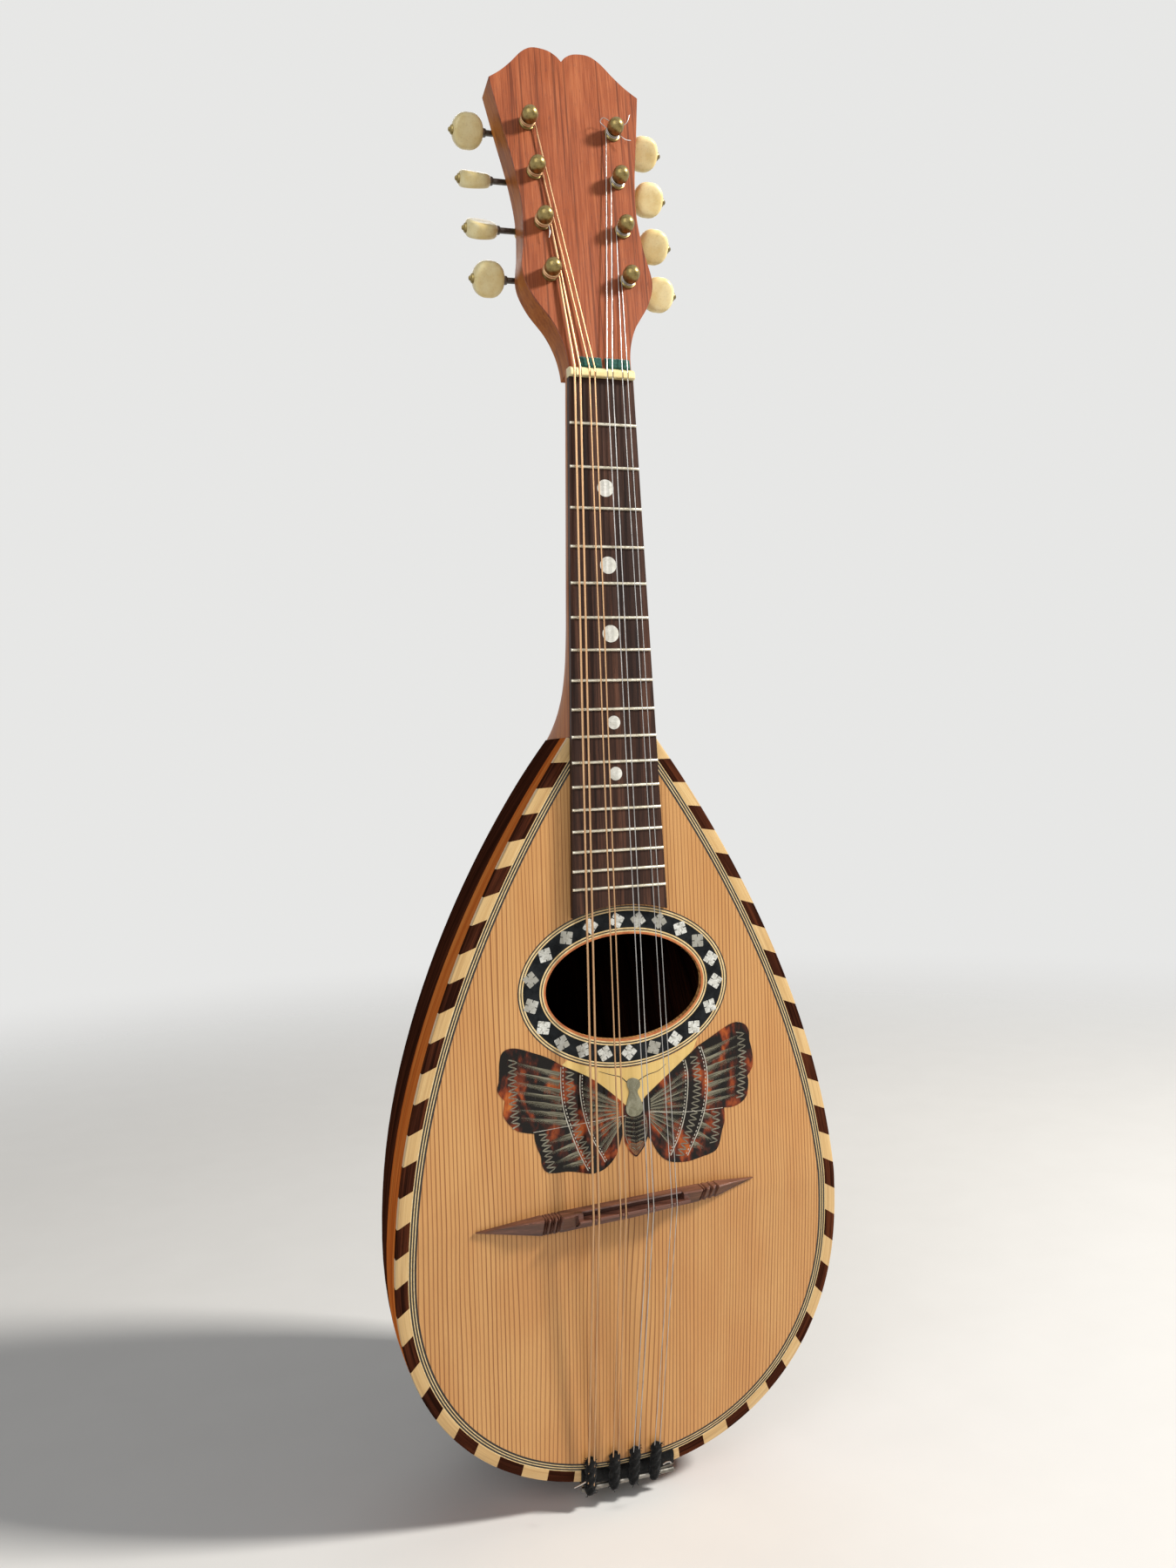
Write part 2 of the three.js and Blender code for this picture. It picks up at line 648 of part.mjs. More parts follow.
// A worm along X: its thread is one helix, cut square at both ends
function wormThread() {
  const crest = wormPitchRadius + toothAddendum;
  const root = wormPitchRadius - toothAddendum - toothClearance;
  const profileShares = [[0.27, root], [0.41, crest], [0.59, crest], [0.73, root]]; // along one pitch
  const turns = 2 * Math.ceil(wormTurns / 2) + 2; // even, so that a crest faces the gap between two teeth
  const angles = 8;
  const start = -(turns * threadPitch) / 2;
  const ridge = Array.from({ length: turns }, (_, turn) => profileShares.map(([share, radius]) =>
    [start + (turn + share - 1) * threadPitch, radius])).flat();
  const rows = Array.from({ length: angles + 1 }, (_, j) => ridge.map(([x, radius]) => {
    const angle = (2 * PI * j) / angles;
    return new THREE.Vector3(x + (threadPitch * j) / angles, radius * cos(angle), radius * sin(angle));
  }));
  const perPitch = profileShares.length;
  const points = rows.slice(0, -1).flat();
  const columns = ridge.length;
  const index = (j, k) => (j < angles ? j * columns + k : k + perPitch);
  const triangles = [];
  const usable = columns - perPitch;
  for (let j = 0; j < angles; j++) {
    for (let k = 0; k < usable - 1; k++) {
      const corners = [index(j, k), index(j + 1, k), index(j + 1, k + 1), index(j, k + 1)];
      triangles.push([corners[0], corners[1], corners[2]], [corners[0], corners[2], corners[3]]);
    }
  }
  // each end closes on a point of the axis
  const closeEnd = (column, x, flip) => {
    const loop = Array.from({ length: angles + 1 }, (_, j) => index(j, column));
    const seam = Array.from({ length: perPitch - 1 }, (_, i) => index(0, column + perPitch - 1 - i));
    const whole = [...loop, ...seam];
    const centre = points.length;
    points.push(new THREE.Vector3(x, 0, 0));
    whole.forEach((corner, i) => {
      const next = whole[(i + 1) % whole.length];
      triangles.push(flip ? [centre, corner, next] : [centre, next, corner]);
    });
  };
  closeEnd(0, start - threadPitch, false);
  closeEnd(usable - 1, start + turns * threadPitch, true);
  const stock = new THREE.CylinderGeometry(2 * crest, 2 * crest, wormTurns * threadPitch, angles).rotateZ(PI / 2);
  return common(closedMesh(points, triangles), stock);
}

const lugPlace = lugSpan / 2;
const buttonInner = buttonReach - buttonLength / 2;
const buttonOuter = buttonReach + buttonLength / 2;

function wormShaft() {
  const spindle = turned([
    [0, -lugPlace - lugThickness - 2 * gap],
    [shaftRadius, -lugPlace - lugThickness - gap],
    [shaftRadius, buttonInner - gap],
    [spindleRadius, buttonInner - gap],
    [spindleRadius, buttonOuter + gap],
    [rivetRadius, buttonOuter + gap],
    [rivetRadius, buttonOuter + gap + rivetLength / 3],
    [0, buttonOuter + gap + rivetLength],
  ], 8).rotateZ(-PI / 2);
  return join([wormThread(), spindle]);
}

// An oval button, flat on two faces, with a rounded rim
function buttonGeometry() {
  const half = buttonThickness / 2;
  const radius = buttonWidth / 2;
  const body = turned([
    [0, -half], [radius * 0.82, -half], [radius, -half / 3],
    [radius, half / 3], [radius * 0.82, half], [0, half],
  ], 14).rotateX(PI / 2).scale(buttonLength / buttonWidth, 1, 1).translate(buttonReach, 0, 0);
  const bore = new THREE.CylinderGeometry(spindleRadius + gap, spindleRadius + gap, 2 * buttonLength, 6)
    .rotateZ(PI / 2).translate(buttonReach, 0, 0);
  return cut(body, [bore]);
}

// A wheel whose teeth lean with the worm's thread, a gap between two of them facing the worm
function gearGeometry() {
  const outer = gearPitchRadius + toothAddendum;
  const root = gearPitchRadius - toothAddendum - toothClearance;
  const lean = threadPitch / (2 * PI * wormPitchRadius) / gearPitchRadius;
  const toothShares = [[0.27, root], [0.41, outer], [0.59, outer], [0.73, root]]; // round one pitch
  const outline = Array.from({ length: gearTeeth }, (_, tooth) => toothShares.map(([share, radius]) => {
    const angle = PI / 2 + (2 * PI * (tooth + share)) / gearTeeth;
    return new THREE.Vector2(radius * cos(angle), radius * sin(angle));
  })).flat();
  const wheel = slab(outline, -gearThickness / 2, gearThickness / 2);
  const { position } = wheel.attributes;
  const corner = new THREE.Vector3();
  const up = new THREE.Vector3(0, 0, 1);
  for (let i = 0; i < position.count; i++) {
    corner.fromBufferAttribute(position, i);
    corner.applyAxisAngle(up, lean * corner.z);
    position.setXYZ(i, corner.x, corner.y, corner.z);
  }
  return wheel.translate(0, 0, -wormDepth);
}

// A string post: domed cap, spool, collar, and the wheel that turns it behind the plate
function postGeometry() {
  const foot = wormDepth + gearThickness / 2 + capRadius / 4;
  const stem = turned([
    [0, -foot], [postRadius, -foot + gap], [postRadius, gap],
    [capRadius, gap], [capRadius, 3 * gap], [postRadius, 5 * gap],
    [postRadius, postHeight * 0.525], [capRadius * 0.92, postHeight * 0.58],
    [capRadius, postHeight * 0.7], [capRadius * 0.85, postHeight * 0.85],
    [capRadius * 0.48, postHeight * 0.96], [0, postHeight],
  ], 8).rotateX(PI / 2);
  return join([stem, gearGeometry()]);
}

// One lug that carries a worm shaft, standing on the back of the plate
function lugGeometry() {
  const wall = shaftRadius + gap + lugThickness;
  const rise = wormLift + gap;
  const outline = new THREE.Shape();
  outline.moveTo(-wall, rise);
  outline.lineTo(-wall, 0);
  outline.absarc(0, 0, wall, PI, 2 * PI, false);
  outline.lineTo(wall, rise);
  outline.holes.push(new THREE.Path().absarc(0, 0, shaftRadius + gap, 0, 2 * PI, true));
  return new THREE.ExtrudeGeometry(outline, { depth: lugThickness, bevelEnabled: false, curveSegments: 3 })
    .applyMatrix4(facingX);
}

const buttonTurns = { bass: [-40, 42, 48, -38], treble: [-36, -44, -38, -46] }; // degrees from facing front

function addTuners({ name, hand }) {
  const row = new THREE.Group();
  const first = postPlace(hand, 0);
  row.position.set(first.x, first.y, 0);
  row.rotation.z = -hand * rowFlare;
  head.add(row);
  const step = postPitch / cos(rowFlare);
  const margin = gearPitchRadius + toothAddendum;

  const low = -margin;
  const high = (tunersPerSide - 1) * step + wormOffset + margin;
  const [inside, outside] = hand < 0 ? [plateOutside, plateInside] : [plateInside, plateOutside];
  const corner = plateThickness;
  const outline = [
    new THREE.Vector2(-inside, low + corner), new THREE.Vector2(-inside + corner, low),
    new THREE.Vector2(outside - corner, low), new THREE.Vector2(outside, low + corner),
    new THREE.Vector2(outside, high - corner), new THREE.Vector2(outside - corner, high),
    new THREE.Vector2(-inside + corner, high), new THREE.Vector2(-inside, high - corner),
  ];
  const postHoles = Array.from({ length: tunersPerSide }, (_, i) =>
    ellipse(postRadius + gap, postRadius + gap, i * step, 8));
  const sheet = slab(outline, -backFace, -headThickness - gap, postHoles);
  const lugs = Array.from({ length: tunersPerSide }, (_, i) => [lugPlace, -lugPlace - lugThickness]
    .map((x) => lugGeometry().translate(x, i * step + wormOffset, -wormDepth))).flat();
  addPiece(row, `${name}_tuner_plate`, join([sheet, ...lugs]), 'brass');

  for (let i = 0; i < tunersPerSide; i++) {
    const tuner = new THREE.Group();
    tuner.position.y = i * step;
    row.add(tuner);
    addPiece(tuner, `${name}_post_${i + 1}`, postGeometry(), 'brass');
    const worm = new THREE.Group();
    worm.position.set(0, wormOffset, -wormDepth);
    tuner.add(worm);
    addPiece(worm, `${name}_worm_${i + 1}`, wormShaft(), 'brass');
    const button = addPiece(worm, `${name}_button_${i + 1}`, buttonGeometry(), 'bone');
    const turn = THREE.MathUtils.degToRad(buttonTurns[name][i]);
    if (hand < 0) worm.rotation.y = PI;
    button.rotation.x = -hand * turn;
  }
}

// Strings

const stringNames = ['g', 'd', 'a', 'e'];
const tailBead = new THREE.Vector3(
  0,
  edgeLevel(widestY - tailLength) - gap - tailpieceThickness,
  -edgeDrop(widestY - tailLength) + beadRadius / 2,
);

const strings = stringNames.flatMap((note, course) => [-1, 1].map((pairSide, member) => {
  const radius = courseGauges[course] / 2;
  const spread = (pairSide * courseSpread) / 2;
  const index = 2 * course + member;
  const hand = course < 2 ? -1 : 1;
  const rank = hand < 0 ? index : 2 * stringNames.length - 1 - index;
  return {
    name: `string_${note}${member + 1}`,
    radius,
    hand,
    rank,
    nutX: nutCourseShares[course] * nutHalfWidth + spread,
    bridgeX: bridgeCourseShares[course] * saddleHalfLength + spread,
    tailX: tailCourseShares[course] * tailpieceHalfWidth + spread,
  };
}));

// The last stretch in the headstock's frame: up to the post and round it, rising loop by loop
function windingStations({ radius, hand, rank, nutX }) {
  const start = head.worldToLocal(new THREE.Vector3(nutX, headFootY, nutStringHeight));
  const centre = postPlace(hand, rank);
  const coil = postRadius + gap + radius;
  const run = new THREE.Vector2(centre.x - start.x, centre.y - start.y);
  const reach = run.length();
  const bearing = Math.atan2(run.y, run.x) + hand * Math.asin(coil / reach);
  const straight = sqrt(reach ** 2 - coil ** 2);
  const touch = new THREE.Vector2(start.x + straight * cos(bearing), start.y + straight * sin(bearing));
  const firstAngle = Math.atan2(touch.y - centre.y, touch.x - centre.x);
  const count = Math.round(windingTurns * loopSteps);
  const loops = Array.from({ length: count + 1 }, (_, i) => {
    const turn = i / loopSteps;
    const angle = firstAngle - hand * 2 * PI * turn;
    return new THREE.Vector3(
      centre.x + coil * cos(angle),
      centre.y + coil * sin(angle),
      windingFoot + windingPitch * turn,
    );
  });
  return loops.map((point) => point.applyMatrix4(head.matrix));
}

function leastGapToItself(stations, radius) {
  let least = Infinity;
  stations.forEach((a, i) => stations.slice(i + Math.ceil(loopSteps * 2 / 3)).forEach((b) => {
    least = min(least, a.distanceTo(b) - 2 * radius);
  }));
  return least;
}

function stringStations(string) {
  const { radius, nutX, bridgeX: x, tailX } = string;
  const overBead = beadRadius + gap + radius;
  const hookY = tailBead.y - overBead;
  return [
    new THREE.Vector3(tailX, hookY, tailBead.z - hookDepth),
    new THREE.Vector3(tailX, hookY, tailBead.z),
    new THREE.Vector3(tailX, tailBead.y - overBead * sin(PI / 4), tailBead.z + overBead * cos(PI / 4)),
    new THREE.Vector3(tailX, tailBead.y + overBead / 4, tailBead.z + overBead),
    new THREE.Vector3(x, ridgeY, bridgeStringHeight),
    new THREE.Vector3(nutX, nutY, nutStringHeight),
    new THREE.Vector3(nutX, headFootY, nutStringHeight),
    ...windingStations(string),
  ];
}

function addStrings() {
  let least = Infinity;
  strings.forEach((string) => {
    const stations = stringStations(string);
    least = min(least, leastGapToItself(stations.slice(-Math.round(windingTurns * loopSteps)), string.radius));
    addPiece(mandolin, string.name, tube(stations, string.radius), string.hand < 0 ? 'bronze' : 'steel');
  });
  console.log(`least gap of a winding to itself: ${least.toFixed(2)} mm`);
}

function addNut() {
  const outline = [
    new THREE.Vector2(nutY + gap, gap),
    new THREE.Vector2(nutY + nutLength, gap),
    new THREE.Vector2(nutY + nutLength, nutRise * 3 / 4),
    new THREE.Vector2(nutY + nutLength / 2, nutRise),
    new THREE.Vector2(nutY + gap, nutRise),
  ];
  const blank = new THREE.ExtrudeGeometry(new THREE.Shape(outline), { depth: 2 * nutHalfWidth, bevelEnabled: false })
    .applyMatrix4(facingX).translate(-nutHalfWidth, 0, 0);
  const slots = strings.map(({ nutX, radius }) => {
    const half = radius + gap;
    return block(nutX - half, nutX + half, nutY - overrun, headFootY + overrun, nutStringHeight - half, nutRise + overrun);
  });
  addPiece(mandolin, 'nut', cut(blank, slots), 'bone');
}

// Bridge: a long bar pointed at both ends, upright towards the neck and sloping towards the tail, with a narrow ridge
const bridgeWingShares = [ // along the wing, half width and height at that place
  [1, 0.08, 0.16], [0.45, 0.58, 0.5], [0, 1, 0.9],
];
const bridgeSectionShares = [ // across and up
  [-1, -0.3], [1, -0.3], [1, 0.5], [0.74, 0.78], [-1, 0.12],
];
const bridgeGrooveShares = [-0.08, 0, 0.08]; // places of the three cuts about the middle of them
const bridgeGroovesAt = 34.4;

function addBridge() {
  const across = bridgeWidth / 2;
  const wing = (length, side) => bridgeWingShares.map(([along, wide, high]) => {
    const x = side * (bridgeWingRoot + along * (length - bridgeWingRoot));
    return bridgeSectionShares.map(([y, z]) =>
      new THREE.Vector3(x, bridgeY + along * bridgeTipShift + y * wide * across, z * high * bridgeHeight));
  });
  const bar = loft([...wing(bridgeBassLength, -1), ...wing(bridgeTrebleLength, 1).reverse()]);
  const ridge = block(
    -saddleHalfLength - saddleWidth, saddleHalfLength + saddleWidth,
    ridgeY - saddleWidth / 2, ridgeY + saddleWidth / 2, 0, bridgeHeight,
  );
  const recess = block(
    -saddleHalfLength, saddleHalfLength,
    ridgeY + saddleWidth / 2, bridgeY + across * 0.86, bridgeHeight / 2, 2 * bridgeHeight,
  );
  const grooves = [-1, 1].flatMap((side) => bridgeGrooveShares.map((share) =>
    new THREE.CylinderGeometry(saddleWidth / 3, saddleWidth / 3, 2 * bridgeWidth, 4)
      .translate(side * bridgeGroovesAt * (1 + share), 0, bridgeHeight * 0.72)));
  const carved = cut(join([bar, ridge]), [recess, ...grooves]).rotateZ(bridgeSlant);
  const reach = 2 * bridgeBassLength;
  const board = bentSlab([
    new THREE.Vector2(-reach, -reach), new THREE.Vector2(reach, -reach),
    new THREE.Vector2(reach, reach), new THREE.Vector2(-reach, reach),
  ], -bridgeHeight, gap);
  const slots = strings.map(({ bridgeX: x, radius }) => {
    const slotHalf = radius + gap;
    const floor = bridgeStringHeight - slotHalf;
    return block(x - slotHalf, x + slotHalf, -bridgeWidth, bridgeWidth, floor, 2 * bridgeHeight);
  });
  addPiece(mandolin, 'bridge', cut(carved, [board, ...slots]), 'rosewood');
}

// Tailpiece: a thin plate down the tail with a rolled upper edge and a hook for each string

// How far down the tail the bowl's surface lies at a place across and a depth
function tailSurface(x, depth, outset) {
  let [low, high] = [0, PI / 2];
  for (let pass = 0; pass < 30; pass++) {
    const angle = (low + high) / 2;
    const place = tailEdge(angle);
    const drop = edgeDrop(place.y);
    const reach = (bowlDepth - drop) * (place.x / bodyHalfWidth) ** bowlSweep - rimDepth;
    const below = max(0, depth - drop - rimDepth);
    const inside = (abs(x) / place.x) ** bowlFullness + (below / reach) ** bowlFullness < 1;
    if (inside) low = angle;
    else high = angle;
  }
  return edgeLevel(tailEdge(low).y) - outset;
}

function addTailpiece() {
  const top = -tailBead.z;
  const columns = 6;
  const rows = 4;
  const grid = (outset) => Array.from({ length: rows + 1 }, (_, row) =>
    Array.from({ length: columns + 1 }, (_, column) => {
      const x = tailpieceHalfWidth * ((2 * column) / columns - 1);
      const depth = top + (tailpieceDepth * row) / rows;
      return new THREE.Vector3(x, tailSurface(x, depth, outset), -depth);
    }));
  const sheet = plate(grid(gap + tailpieceThickness), grid(gap));
  const bead = new THREE.CylinderGeometry(beadRadius, beadRadius, 2 * tailpieceHalfWidth, 8)
    .rotateZ(PI / 2).translate(0, tailBead.y, tailBead.z);
  const hooks = strings.map(({ tailX, radius }) => {
    const z = tailBead.z - hookDepth - gap - hookWidth;
    const tip = tailBead.y - beadRadius - gap - 2 * radius - tailpieceThickness;
    const foot = tailSurface(tailX, -z, gap + tailpieceThickness / 2);
    const half = hookWidth / 2 - radius / 2;
    return block(tailX - half, tailX + half, tip, foot, z, z + hookWidth);
  });
  const bore = new THREE.CylinderGeometry(endPinRadius + gap, endPinRadius + gap, tailLength, roundSides)
    .translate(0, tailBead.y, -buttonSetback);
  addPiece(mandolin, 'tailpiece', cut(join([sheet, bead, ...hooks]), [bore]), 'steel');
}

const seatY = tailSurface(0, buttonSetback, gap + tailpieceThickness);
const endFaceY = seatY - gap - endButtonLength;

function addEndButton() {
  const button = turned([
    [0, endFaceY], [endButtonRadius * 0.85, endFaceY], [endButtonRadius, endFaceY + endButtonLength * 0.2],
    [endButtonRadius * 0.9, endFaceY + endButtonLength * 0.4], [endButtonRadius * 0.6, endFaceY + endButtonLength * 0.7],
    [endButtonRadius * 0.7, seatY - gap], [endPinRadius, seatY - gap],
    [endPinRadius * 0.8, seatY + endPinLength], [0, seatY + endPinLength],
  ], 16).translate(0, 0, -buttonSetback);
  addPiece(mandolin, 'end_button', button, 'darkRosewood');
}

// A black cloth strip across the tail edge, wrapped up round each pair of strings
function addDamper() {
  const tailY = widestY - tailLength;
  const rim = slab(boardOutline(0), gap, gap + damperThickness, [boardOutline(2 * damperRadius)]);
  const span = tailpieceHalfWidth - gap;
  const strip = common(rim, block(-span, span, tailY - overrun, widestY, -overrun, 2 * damperThickness)).rotateX(cant);
  const wraps = tailCourseShares.map((share) => {
    const wrap = new THREE.CapsuleGeometry(damperRadius, damperLength - 2 * damperRadius, 2, 8);
    const centre = onBoard(share * tailpieceHalfWidth, tailY + damperLength / 2, damperRadius + gap);
    return wrap.rotateX(cant).translate(centre.x, centre.y, centre.z);
  });
  // one slot along each pair of strings
  const slots = tailCourseShares.map((_, course) => {
    const [from, to] = stringStations(strings[2 * course]).slice(3, 5);
    const half = strings[2 * course].radius + gap;
    return block(-half, courseSpread + half, -damperLength, from.distanceTo(to), -half, half)
      .rotateX(Math.atan2(to.z - from.z, to.y - from.y))
      .rotateZ(-Math.atan2(to.x - from.x, to.y - from.y))
      .translate(from.x, from.y, from.z);
  });
  addPiece(mandolin, 'string_damper', cut(join([strip, ...wraps]), slots), 'blackCloth');
}

addBowl();
addBlocks();
addSoundboard();
addNeck();
addFingerboard();
addHeadstock();
sides.forEach(addTuners);
addStrings();
addNut();
addBridge();
addTailpiece();
addEndButton();
addDamper();

// Stood up on its tail, with the origin at the middle of the end button's outer face
mandolin.rotation.x = PI / 2;
mandolin.position.set(0, -buttonSetback, -endFaceY);

const instrument = new THREE.Group();
instrument.add(mandolin);

export default instrument;
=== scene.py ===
# Bowl back mandolin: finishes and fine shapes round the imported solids.
# Shapes are worked out in millimetres on the soundboard's own frame: x to the treble side,
# y from the bend of the board up the neck, z out towards the player.
import random
from math import acos, asin, atan2, copysign, cos, pi, radians, sin, sqrt, tan

import bmesh
import bpy
from mathutils import Matrix, Vector
from mathutils.geometry import delaunay_2d_cdt
from mathutils.noise import noise as softNoise


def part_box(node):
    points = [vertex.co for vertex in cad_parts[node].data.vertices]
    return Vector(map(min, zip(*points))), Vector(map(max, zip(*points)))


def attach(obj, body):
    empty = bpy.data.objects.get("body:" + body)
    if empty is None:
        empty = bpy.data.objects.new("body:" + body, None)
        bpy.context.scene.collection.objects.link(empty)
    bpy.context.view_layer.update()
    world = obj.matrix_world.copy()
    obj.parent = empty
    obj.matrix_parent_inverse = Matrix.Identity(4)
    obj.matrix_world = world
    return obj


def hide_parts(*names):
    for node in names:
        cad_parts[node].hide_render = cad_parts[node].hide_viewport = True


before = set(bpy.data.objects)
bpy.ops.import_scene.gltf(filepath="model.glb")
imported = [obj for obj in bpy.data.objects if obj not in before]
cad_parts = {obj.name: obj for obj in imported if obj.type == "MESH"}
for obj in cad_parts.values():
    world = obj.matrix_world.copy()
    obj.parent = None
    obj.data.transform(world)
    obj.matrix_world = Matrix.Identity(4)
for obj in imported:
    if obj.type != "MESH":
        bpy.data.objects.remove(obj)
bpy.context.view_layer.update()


# A dictionary of settings, read as look.name
class Look(dict):
    __getattr__ = dict.__getitem__


body = Look(halfWidth=97, widestY=-20, tailLength=102, tailFullness=2.15, jointY=192.199, shoulder=18.8,
            shoulderPull=9, shoulderAngle=33, flankPull=107, cant=6.6, board=2.6, depth=142, fullness=2.45,
            sweep=0.51, rib=2, ribTail=9, staves=9, bandShare=0.05, gap=0.3, buttonSetback=40)
neck = Look(nutY=337, scale=330, nutHalf=13.9, lastHalf=20.4, frets=17, nutLength=3.7, depthAtNut=13,
            depthAtBody=19, heel=46, boardTop=2.9, stringAtNut=4.6)
head = Look(tilt=14, rise=2.3, length=152.4, halfWidth=33.4, thickness=12, veneer=1.0, foot=0.35, postHole=2.5)
hole = Look(halfWide=34.2, halfTall=21.6, drawnY=89.3)
tailPower = 2 / body.tailFullness
cant = radians(body.cant)
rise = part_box("fingerboard")[1].z * 1000 - neck.nutY
rosetteLow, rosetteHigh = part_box("rosette_ring")
holeX = (rosetteLow.x + rosetteHigh.x) * 500
holeY = (rosetteLow.z + rosetteHigh.z) * 500 - rise


def placed(name, data):
    made = bpy.data.objects.new(name, data)
    bpy.context.scene.collection.objects.link(made)
    return made


# The camera, from the photograph's own perspective
view = Look(lens=28.46, sensor=36, place=(-0.1742, -0.5169, 0.3141), right=(0.94535, -0.32399, -0.03657),
            up=(0.04056, 0.00555, 0.99916), back=(-0.32352, -0.94604, 0.01838))
camera = placed("camera", bpy.data.cameras.new("camera"))
camera.data.lens = view.lens
camera.data.sensor_width = view.sensor
axes = Matrix((view.right, view.up, view.back)).transposed()
camera.matrix_world = Matrix.Translation(view.place) @ axes.to_4x4()
bpy.context.scene.camera = camera
print("camera placed")

toRow = Matrix.Scale(0.001, 4) @ Matrix(
    ((1, 0, 0, 0), (0, 0, -1, -body.buttonSetback), (0, 1, 0, rise), (0, 0, 0, 1)))
headFoot = neck.nutY + neck.nutLength
toHead = toRow @ Matrix.Translation((0, headFoot, head.rise)) @ Matrix.Rotation(-radians(head.tilt), 4, "X")


# A point of the soundboard's plane, which slopes back below the bend
def onBoard(x, y, z=0.0):
    if y >= 0:
        return Vector((x, y, z))
    return Vector((x, y * cos(cant) - z * sin(cant), y * sin(cant) + z * cos(cant)))


def fretY(fret):
    return neck.nutY - neck.scale * (1 - 2 ** (-fret / 12))


# Shader nodes

# One output socket; sums on it add Math nodes
class Wire:
    def __init__(self, finish, socket):
        self.finish, self.socket = finish, socket

    def math(self, operation, first, second=0.0):
        return self.finish.node("ShaderNodeMath", {"operation": operation}, {0: first, 1: second})

    def fraction(self):
        return self.math("FRACT", self)

    __add__ = __radd__ = lambda self, other: self.math("ADD", self, other)
    __mul__ = __rmul__ = lambda self, other: self.math("MULTIPLY", self, other)
    __sub__ = lambda self, other: self.math("SUBTRACT", self, other)
    __rsub__ = lambda self, other: self.math("SUBTRACT", other, self)
    __truediv__ = lambda self, other: self.math("DIVIDE", self, other)
    __rtruediv__ = lambda self, other: self.math("DIVIDE", other, self)
    __pow__ = lambda self, other: self.math("POWER", self, other)
    __rpow__ = lambda self, other: self.math("POWER", other, self)


# A material or a world in the making
class Finish:
    sockets = Look(coat="Coat Weight", coatRough="Coat Roughness", specular="Specular IOR Level", metal="Metallic",
                   sheen="Sheen Weight", normal="Normal", alpha="Alpha")

    def __init__(self, name, source="grain", owners=bpy.data.materials):
        self.owner = owners.new(name)
        self.owner.use_nodes = True
        self.tree = self.owner.node_tree
        self.tree.nodes.clear()
        # millimetres along the grain, across it and through it
        if source == "grain":
            self.place = self.node("ShaderNodeAttribute", {"attribute_name": "grain"}, out="Vector")
        if source == "object":
            where = self.node("ShaderNodeTexCoord", out="Object")
            self.place = self.node("ShaderNodeMapping", {}, {
                "Vector": where, "Rotation": (0, pi / 2, 0), "Scale": (1000, 1000, 1000)})

    def node(self, kind, settings=None, values=None, out=0):
        made = self.tree.nodes.new(kind)
        for key, value in (settings or {}).items():
            if key == "stops":
                elements = made.color_ramp.elements
                elements.remove(elements[1])
                for k, (position, colour) in enumerate(value):
                    stop = elements.new(position) if k else elements[0]
                    stop.position, stop.color = position, (*colour, 1)
            else:
                setattr(made, key, value)
        for key, value in (values or {}).items():
            if isinstance(value, Wire):
                self.tree.links.new(value.socket, made.inputs[key])
            else:
                made.inputs[key].default_value = value
        return Wire(self, made.outputs[out]) if made.outputs else None

    def scaled(self, *scale):
        return self.node("ShaderNodeVectorMath", {"operation": "MULTIPLY"}, {0: self.place, 1: scale}, "Vector")

    # noise whose features are about the given sizes in millimetres
    def noise(self, sizes, detail=3.0, roughness=0.55, distortion=0.0):
        return self.node("ShaderNodeTexNoise", {}, {
            "Vector": self.scaled(*[1 / size for size in sizes]), "Scale": 1.0,
            "Detail": detail, "Roughness": roughness, "Distortion": distortion}, "Fac")

    def axis(self, name):
        return self.node("ShaderNodeSeparateXYZ", {}, {0: self.place}, name)

    def ramp(self, value, *stops):
        return self.node("ShaderNodeValToRGB", {"stops": stops}, {"Fac": value}, "Color")

    def mix(self, mask, first, second):
        first, second = [value if isinstance(value, Wire) else (*value, 1) for value in (first, second)]
        return self.node("ShaderNodeMix", {"data_type": "RGBA"}, {0: mask, 6: first, 7: second}, 2)

    def between(self, value, low, high, lowResult=0.0, highResult=1.0):
        return self.node("ShaderNodeMapRange", {"interpolation_type": "SMOOTHSTEP"}, {
            "Value": value, "From Min": low, "From Max": high, "To Min": lowResult, "To Max": highResult})

    def bump(self, height, distance, strength):
        return self.node("ShaderNodeBump", {}, {"Height": height, "Distance": distance, "Strength": strength})

    def shade(self, colour, rough, **values):
        surface = self.node("ShaderNodeBsdfPrincipled", {}, {
            "Base Color": colour, "Roughness": rough, **{self.sockets[key]: value for key, value in values.items()}})
        self.node("ShaderNodeOutputMaterial", {}, {"Surface": surface})
        return self.owner


# Straight grained wood: streaks and pores run along the grain
def streakedWood(name, look, source="grain"):
    finish = Finish(name, source)
    streak, share = look.streak, look.get("fine", 0.4)
    broad = finish.noise((90, streak, streak), 4, 0.6, 0.4)
    fine = finish.noise((25, streak / 7, streak / 7), 3, 0.6)
    pores = finish.between(finish.noise((5, 0.28, 0.28), 2), 0.62, 0.72)
    lines = finish.between(finish.noise((160, look.line, look.line), 2, 0.5, 0.2), 0.56, 0.63)
    tone = finish.ramp(broad * (1 - share) + fine * share, (0.32, look.dark), (0.5, look.middle), (0.68, look.light))
    lined = finish.mix(lines * look.lines, tone, look.lineColour)
    colour = finish.mix(pores * look.pores, lined, look.lineColour)
    handled = finish.noise((30, 30, 30), 4)
    return finish.shade(colour, finish.between(handled, 0.3, 0.7, look.rough - 0.06, look.rough + 0.08),
                        coat=look.get("coat", 0.0), coatRough=0.16, specular=look.get("specular", 0.5),
                        normal=finish.bump(fine * 0.4 - pores * 0.6, 0.00006, look.get("bump", 0.6)))


